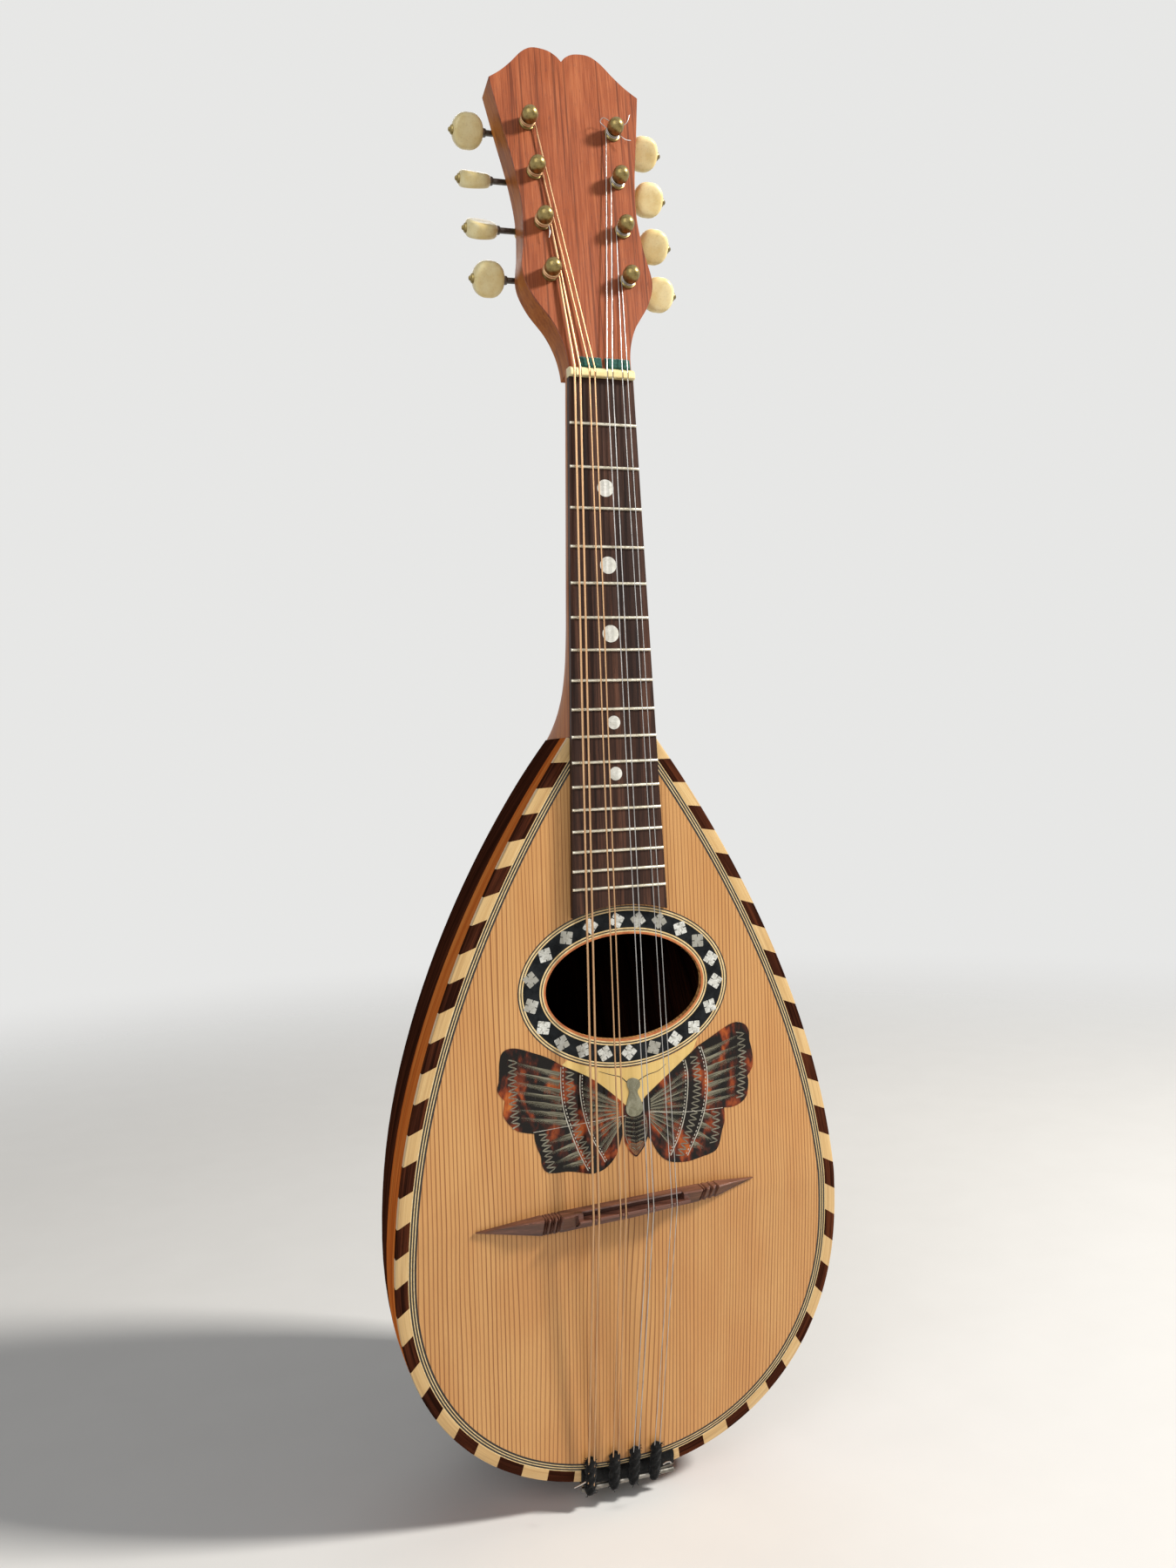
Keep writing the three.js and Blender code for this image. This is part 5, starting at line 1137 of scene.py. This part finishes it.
bar = Look(bass=65, treble=56.5, root=38, across=4.2, height=8.3, y=-2, slant=radians(2.2), recess=22.0, floor=2.8,
           ridgeEnd=24, ridgeHalf=0.7, grooves=(31.7, 34.4, 37.1), tipShift=2.2, wall=5.0, wallThick=0.75,
           trebleCut=1.6, shares=[(0, 1, 0.9), (0.45, 0.58, 0.5), (1, 0.06, 0.14)])  # along the wing, width, height


def wingAt(x):
    length = bar.bass if x < 0 else bar.treble
    along = max(0, (abs(x) - bar.root) / (length - bar.root))
    for (a, w0, h0), (b, w1, h1) in zip(bar.shares, bar.shares[1:]):
        if along <= b + 1e-6:
            t = (along - a) / (b - a)
            return w0 + (w1 - w0) * t, h0 + (h1 - h0) * t, along


# how much lower the bar is at the grooves, and its ridge at the strings' slots
dips = {side * groove + shift: dip for side in (-1, 1) for groove in bar.grooves
        for shift, dip in ((-1.05, 0), (-0.55, 0.3), (0.55, 0.3), (1.05, 0))}
slotDip = {string.bridgeX + shift: dip for string in strings
           for shift, dip in ((-0.6, 0), (-0.48, 0.55), (0.48, 0.55), (0.6, 0))}
places = {k * (bar.bass + bar.treble) / 48 - bar.bass for k in range(49)} | set(dips) | set(slotDip)
places |= {side * (edge + shift) for side in (-1, 1) for edge in (bar.recess, bar.ridgeEnd, 27, 30)
           for shift in (-0.02, 0.02)}
rings = []
for x in sorted(places):
    wide, high, along = wingAt(max(-bar.bass, min(bar.treble, x)))
    dip = dips.get(x, 0)
    raised = 1.1 if 24.5 < abs(x) < 30.1 else 1  # the end of each wing, next to the ridge
    h = high * bar.height * (1 - dip) * raised
    w = wide * bar.across * (1 - dip * 0.25)
    middle = bar.y + bar.tipShift * along
    tailEdge, neckEdge = middle - w + bar.trebleCut * wide * min(1, max(0, x / bar.root)), middle + w
    inRecess = abs(x) < bar.recess
    crest = bar.wall if inRecess else 0.9 * h
    crestY = neckEdge - 0.16 * w

    def onSlope(y):
        return y, h * 0.12 + (0.88 * h - h * 0.12) * min(1, max(0, (y - tailEdge) / (crestY - tailEdge)))
    section = [(tailEdge, -1.2 * wide), (neckEdge, 0.05), (neckEdge - w * 0.01, 0.6 * crest),
               (neckEdge - w * 0.05, 0.9 * crest), (crestY, crest)]
    if abs(x) < bar.ridgeEnd:
        back, front = wires.ridgeY - bar.ridgeHalf, wires.ridgeY + bar.ridgeHalf
        top = bar.height + 0.1 - slotDip.get(x, 0)
        floor = bar.floor if inRecess else crest
        section += [(neckEdge - bar.wallThick, floor), (front, floor), (front - 0.1, top - 0.15), (front - 0.25, top),
                    (back + 0.3, top), (back, top - 0.6), (back - 0.05, onSlope(back)[1])]
    else:
        section += [onSlope(crestY - (crestY - tailEdge) * 0.13 * (k + 0.6)) for k in range(7)]
    section += [(tailEdge + w * 0.07, h * 0.2), (tailEdge, h * 0.1)]
    rings.append([(x * cos(bar.slant) - y * sin(bar.slant), x * sin(bar.slant) + y * cos(bar.slant), z)
                  for y, z in section])
single(loft(rings), "bridge_wood", "bridgeWood", "rosewood", "bridge", grain=tuple, sharp=22)
print("bridge made")

# Tail


# Where the bowl's surface lies at the tail, that far from the middle and below the board's plane
def tailSurface(x, depth, outset):
    low, high = 0.0, pi / 2
    for _ in range(30):
        angle = (low + high) / 2
        place = tailPoint(angle)
        drop, deep = bowlDepth(place)
        inside = (abs(x) / place.x) ** body.fullness + (max(0, depth - drop - rim) / (deep - rim)) ** body.fullness < 1
        low, high = (angle, high) if inside else (low, angle)
    return tailPoint(low).y * cos(cant) - outset


sheet = Look(half=21, depth=42, columns=28, rows=18, roundFrom=0.55, narrowing=0.82, outsets=(1.3, 0.3))
grids = [], []
for t in [r / sheet.rows for r in range(sheet.rows + 1)]:
    depth = sheet.depth * t - beadZ
    half = sheet.half * sqrt(1 - (max(0, (t - sheet.roundFrom) / (1 - sheet.roundFrom)) * sheet.narrowing) ** 2)
    for outset, grid in zip(sheet.outsets, grids):
        grid.append([Vector((x, tailSurface(x, depth, outset), -depth))
                     for x in [half * (2 * c / sheet.columns - 1) for c in range(sheet.columns + 1)]])
metal = Gathered()
metal.add(loft([a + b[::-1] for a, b in zip(*grids)]))
metal.add(tube([(x, beadY, beadZ) for x in (-21, -20.6, 20.6, 21)], [0.7, 1.1, 1.1, 0.7], 16))
for string in strings:
    x, z = string.tailX, beadZ - wires.hookDepth - 1.6
    foot, tip = tailSurface(x, -z, 0.8), beadY - wires.bead - 0.3 - 2 * string.radius - 1.4
    metal.add(tube([(x, foot, z - 0.6), (x, foot - (foot - tip) * 0.5, z - 0.5), (x, tip + 0.4, z), (x, tip, z + 1.0),
                    (x, tip + 0.1, z + 2.4)], [1.1, 1.0, 0.9, 0.8, 0.45], 12))
metal.piece("tail_plate", "darkNickel", "steel", "tailpiece", sharp=40)

endFace = tailSurface(0, body.buttonSetback, 1.3) - 0.3 - 9
profile = [(0, 0), (4.6, 0.0), (5.9, 0.35), (6.7, 1.1), (7.0, 2.1), (6.85, 3.0), (6.3, 3.9), (5.2, 5.1), (4.4, 6.1),
           (4.15, 7.0), (4.5, 8.1), (4.9, 8.8), (4.9, 9.2), (2.9, 9.3), (2.6, 24), (0, 25)]
buttonPlace = Matrix(((1, 0, 0, 0), (0, 0, 1, endFace), (0, -1, 0, -body.buttonSetback), (0, 0, 0, 1)))
single(turned(profile, 48), "strap_button", "fretWood", "dark_rosewood", "end_button", matrix=toRow @ buttonPlace,
       sharp=50)

# black cloth over the tail's edge, and a ragged sleeve round each pair of strings
clothProfile = [(-2.9, 0.0), (-2.8, 0.9), (-1.2, 1.25), (1.2, 1.3), (2.7, 0.9), (2.9, 0.0)]
clothLine = resampled([p for p in bothSides(edgeLine(2.7, 120)) if abs(p[0]) < 20.9 and p[1] < -90], 60)
cloth, fibres = Gathered(), Gathered()
cloth.add(loft([[onBoard(x + 0.2 * softNoise((x, k, 1)), y + dy, 0.06 + lift + 0.22 * softNoise((x * 1.4, dy, 2)))
                 for k, (dy, lift) in enumerate(clothProfile)] for x, y in clothLine]))
sleeve = Look(radius=2.6, length=14.5, below=3.2, rows=46, around=22, fibres=70, wide=1.1, flat=0.85)
rng = random.Random(21)
sideways = Vector((1, 0, 0))
for course in range(4):
    a, b = strings[2 * course].path, strings[2 * course + 1].path
    start = (a[5] + b[5]) / 2
    ahead = ((a[8] + b[8]) / 2 - start).normalized()
    up = sideways.cross(ahead)
    start = start + ahead * 0.5 - up * 0.9

    def alongSleeve(t):
        return start + ahead * ((sleeve.length + sleeve.below) * t - sleeve.below)
    rings = []
    for t in [r / sleeve.rows for r in range(sleeve.rows + 1)]:
        full = min(1, sqrt(max(0, 1 - (2 * t - 1) ** 6)) + 0.12)
        rings.append([])
        for angle in [2 * pi * k / sleeve.around for k in range(sleeve.around)]:
            fuzz = softNoise((cos(angle) * 2 + course * 9, sin(angle) * 2, t * 11))
            woven = 0.22 * sin(3 * angle + t * 26) + 0.3 * fuzz
            radius = (sleeve.radius - 0.5 + woven) * full
            rings[-1].append(alongSleeve(t) + sideways * radius * cos(angle) * sleeve.wide
                             + up * radius * sin(angle) * sleeve.flat)
    cloth.add(loft(rings))
    for _ in range(sleeve.fibres):
        t, angle = rng.uniform(0.03, 0.97), rng.uniform(0, 2 * pi)
        out = sideways * cos(angle) * sleeve.wide + up * sin(angle) * sleeve.flat
        foot = alongSleeve(t) + out * (sleeve.radius - 0.8)
        lean = (ahead * rng.uniform(-1, 1) + sideways * rng.uniform(-0.6, 0.6) + out * 0.5).normalized()
        reach = rng.uniform(0.5, 1.3)
        fibres.add(tube([foot, foot + out * 0.4 + lean * reach * 0.5, foot + out * 0.35 + lean * reach * 1.1],
                        [0.13, 0.11, 0.05], 5))
cloth.piece("damper_cloth", "cloth", "cloth", "string_damper", sharp=80)
fibres.piece("damper_fibres", "cloth", "cloth", "string_damper", sharp=80)

# stray ends of wire, at two posts and at the tail
stray = Gathered()
ends = [
    (1, 3, [(0.0, 2.8, 3.2), (-4.5, 4.5, 4.0), (-6.5, 1.5, 4.6), (-3.5, -1.0, 4.2)]),
    (1, 3, [(2.4, 1.5, 3.5), (5.5, 3.0, 4.5), (7.0, 6.5, 5.5)]),
    (1, 3, [(2.0, -2.0, 3), (4.5, -4.5, 3.5), (6.5, -5.5, 4.5)]),
    (-1, 1, [(1.5, -2.3, 3), (1.9, -6.0, 3.2), (1.4, -8.5, 2.6)])]
for hand, index, line in ends:
    centre = postPlace(hand, index)
    stray.add(tube(smoothed([(centre.x + x, centre.y + y, z) for x, y, z in line], 5), 0.17, 6), toHead)
for line in ([(-22.6, -112.2, -1.5), (-24.6, -113.6, -2.6), (-26.8, -115.0, -3.9)],
             [(11.3, -111.9, -0.6), (12.4, -110.9, 0.2), (13.9, -111.0, 0.1), (14.9, -112.2, -0.9)]):
    stray.add(tube(smoothed(line), 0.28, 6))
stray.piece("stray_wire_ends", "steel", "steel")
print("tail made")

# Floor, background and light

studio = Look(floorHalf=6, floorLow=-0.0006, backdrop=(0.8, 0.8, 0.79, 1), dim=0.12, aim=Vector((0, 0, 0.3)))
finish = Finish("floor", "object")
tone = finish.mix(finish.noise((40, 40, 40), 3), (0.72, 0.71, 0.69), (0.76, 0.75, 0.73))
away = finish.node("ShaderNodeVectorMath", {"operation": "LENGTH"}, {0: finish.place}, "Value")
floorMesh = bpy.data.meshes.new("floor")
floorMesh.from_pydata([(x * studio.floorHalf, y * studio.floorHalf, studio.floorLow)
                       for x, y in ((-1, -1), (1, -1), (1, 1), (-1, 1))], [], [(0, 1, 2, 3)])
floorMesh.materials.append(finish.shade(tone, 0.9, specular=0.2, alpha=finish.between(away, 500, 1500, 1.0, 0.0)))
placed("floor", floorMesh)

lamps = [
    Look(name="key", place=(1.25, -0.78, 1.35), size=0.25, power=46, colour=(1.0, 0.97, 0.92)),
    Look(name="fill", place=(-1.0, -1.2, 1.0), size=1.2, power=11, colour=(0.96, 0.98, 1.0)),
    Look(name="rim", place=(0.3, 1.2, 1.3), size=0.8, power=4, colour=(1.0, 1.0, 1.0))]
for lamp in lamps:
    light = placed(lamp.name, bpy.data.lights.new(lamp.name, "AREA"))
    light.data.energy, light.data.size, light.data.color = lamp.power, lamp.size, lamp.colour
    light.location = lamp.place
    light.rotation_euler = (studio.aim - Vector(lamp.place)).to_track_quat("-Z", "Y").to_euler()

# the backdrop is seen by the camera and in metal, and lights the object only dimly
world = Finish("studio", None, bpy.data.worlds)
dim = world.node("ShaderNodeBackground", {}, {"Color": (1, 1, 1, 1), "Strength": studio.dim})
backdrop = world.node("ShaderNodeBackground", {}, {"Color": studio.backdrop})
seen = world.node("ShaderNodeLightPath", out="Is Camera Ray")
for kind in ("Is Glossy Ray", "Is Transmission Ray"):
    seen = seen.math("MAXIMUM", seen, world.node("ShaderNodeLightPath", out=kind))
chosen = world.node("ShaderNodeMixShader", {}, {0: seen, 1: dim, 2: backdrop})
world.node("ShaderNodeOutputWorld", {}, {"Surface": chosen})
bpy.context.scene.world = world.owner
bpy.context.scene.view_settings.view_transform = "Standard"
print("stage lit")
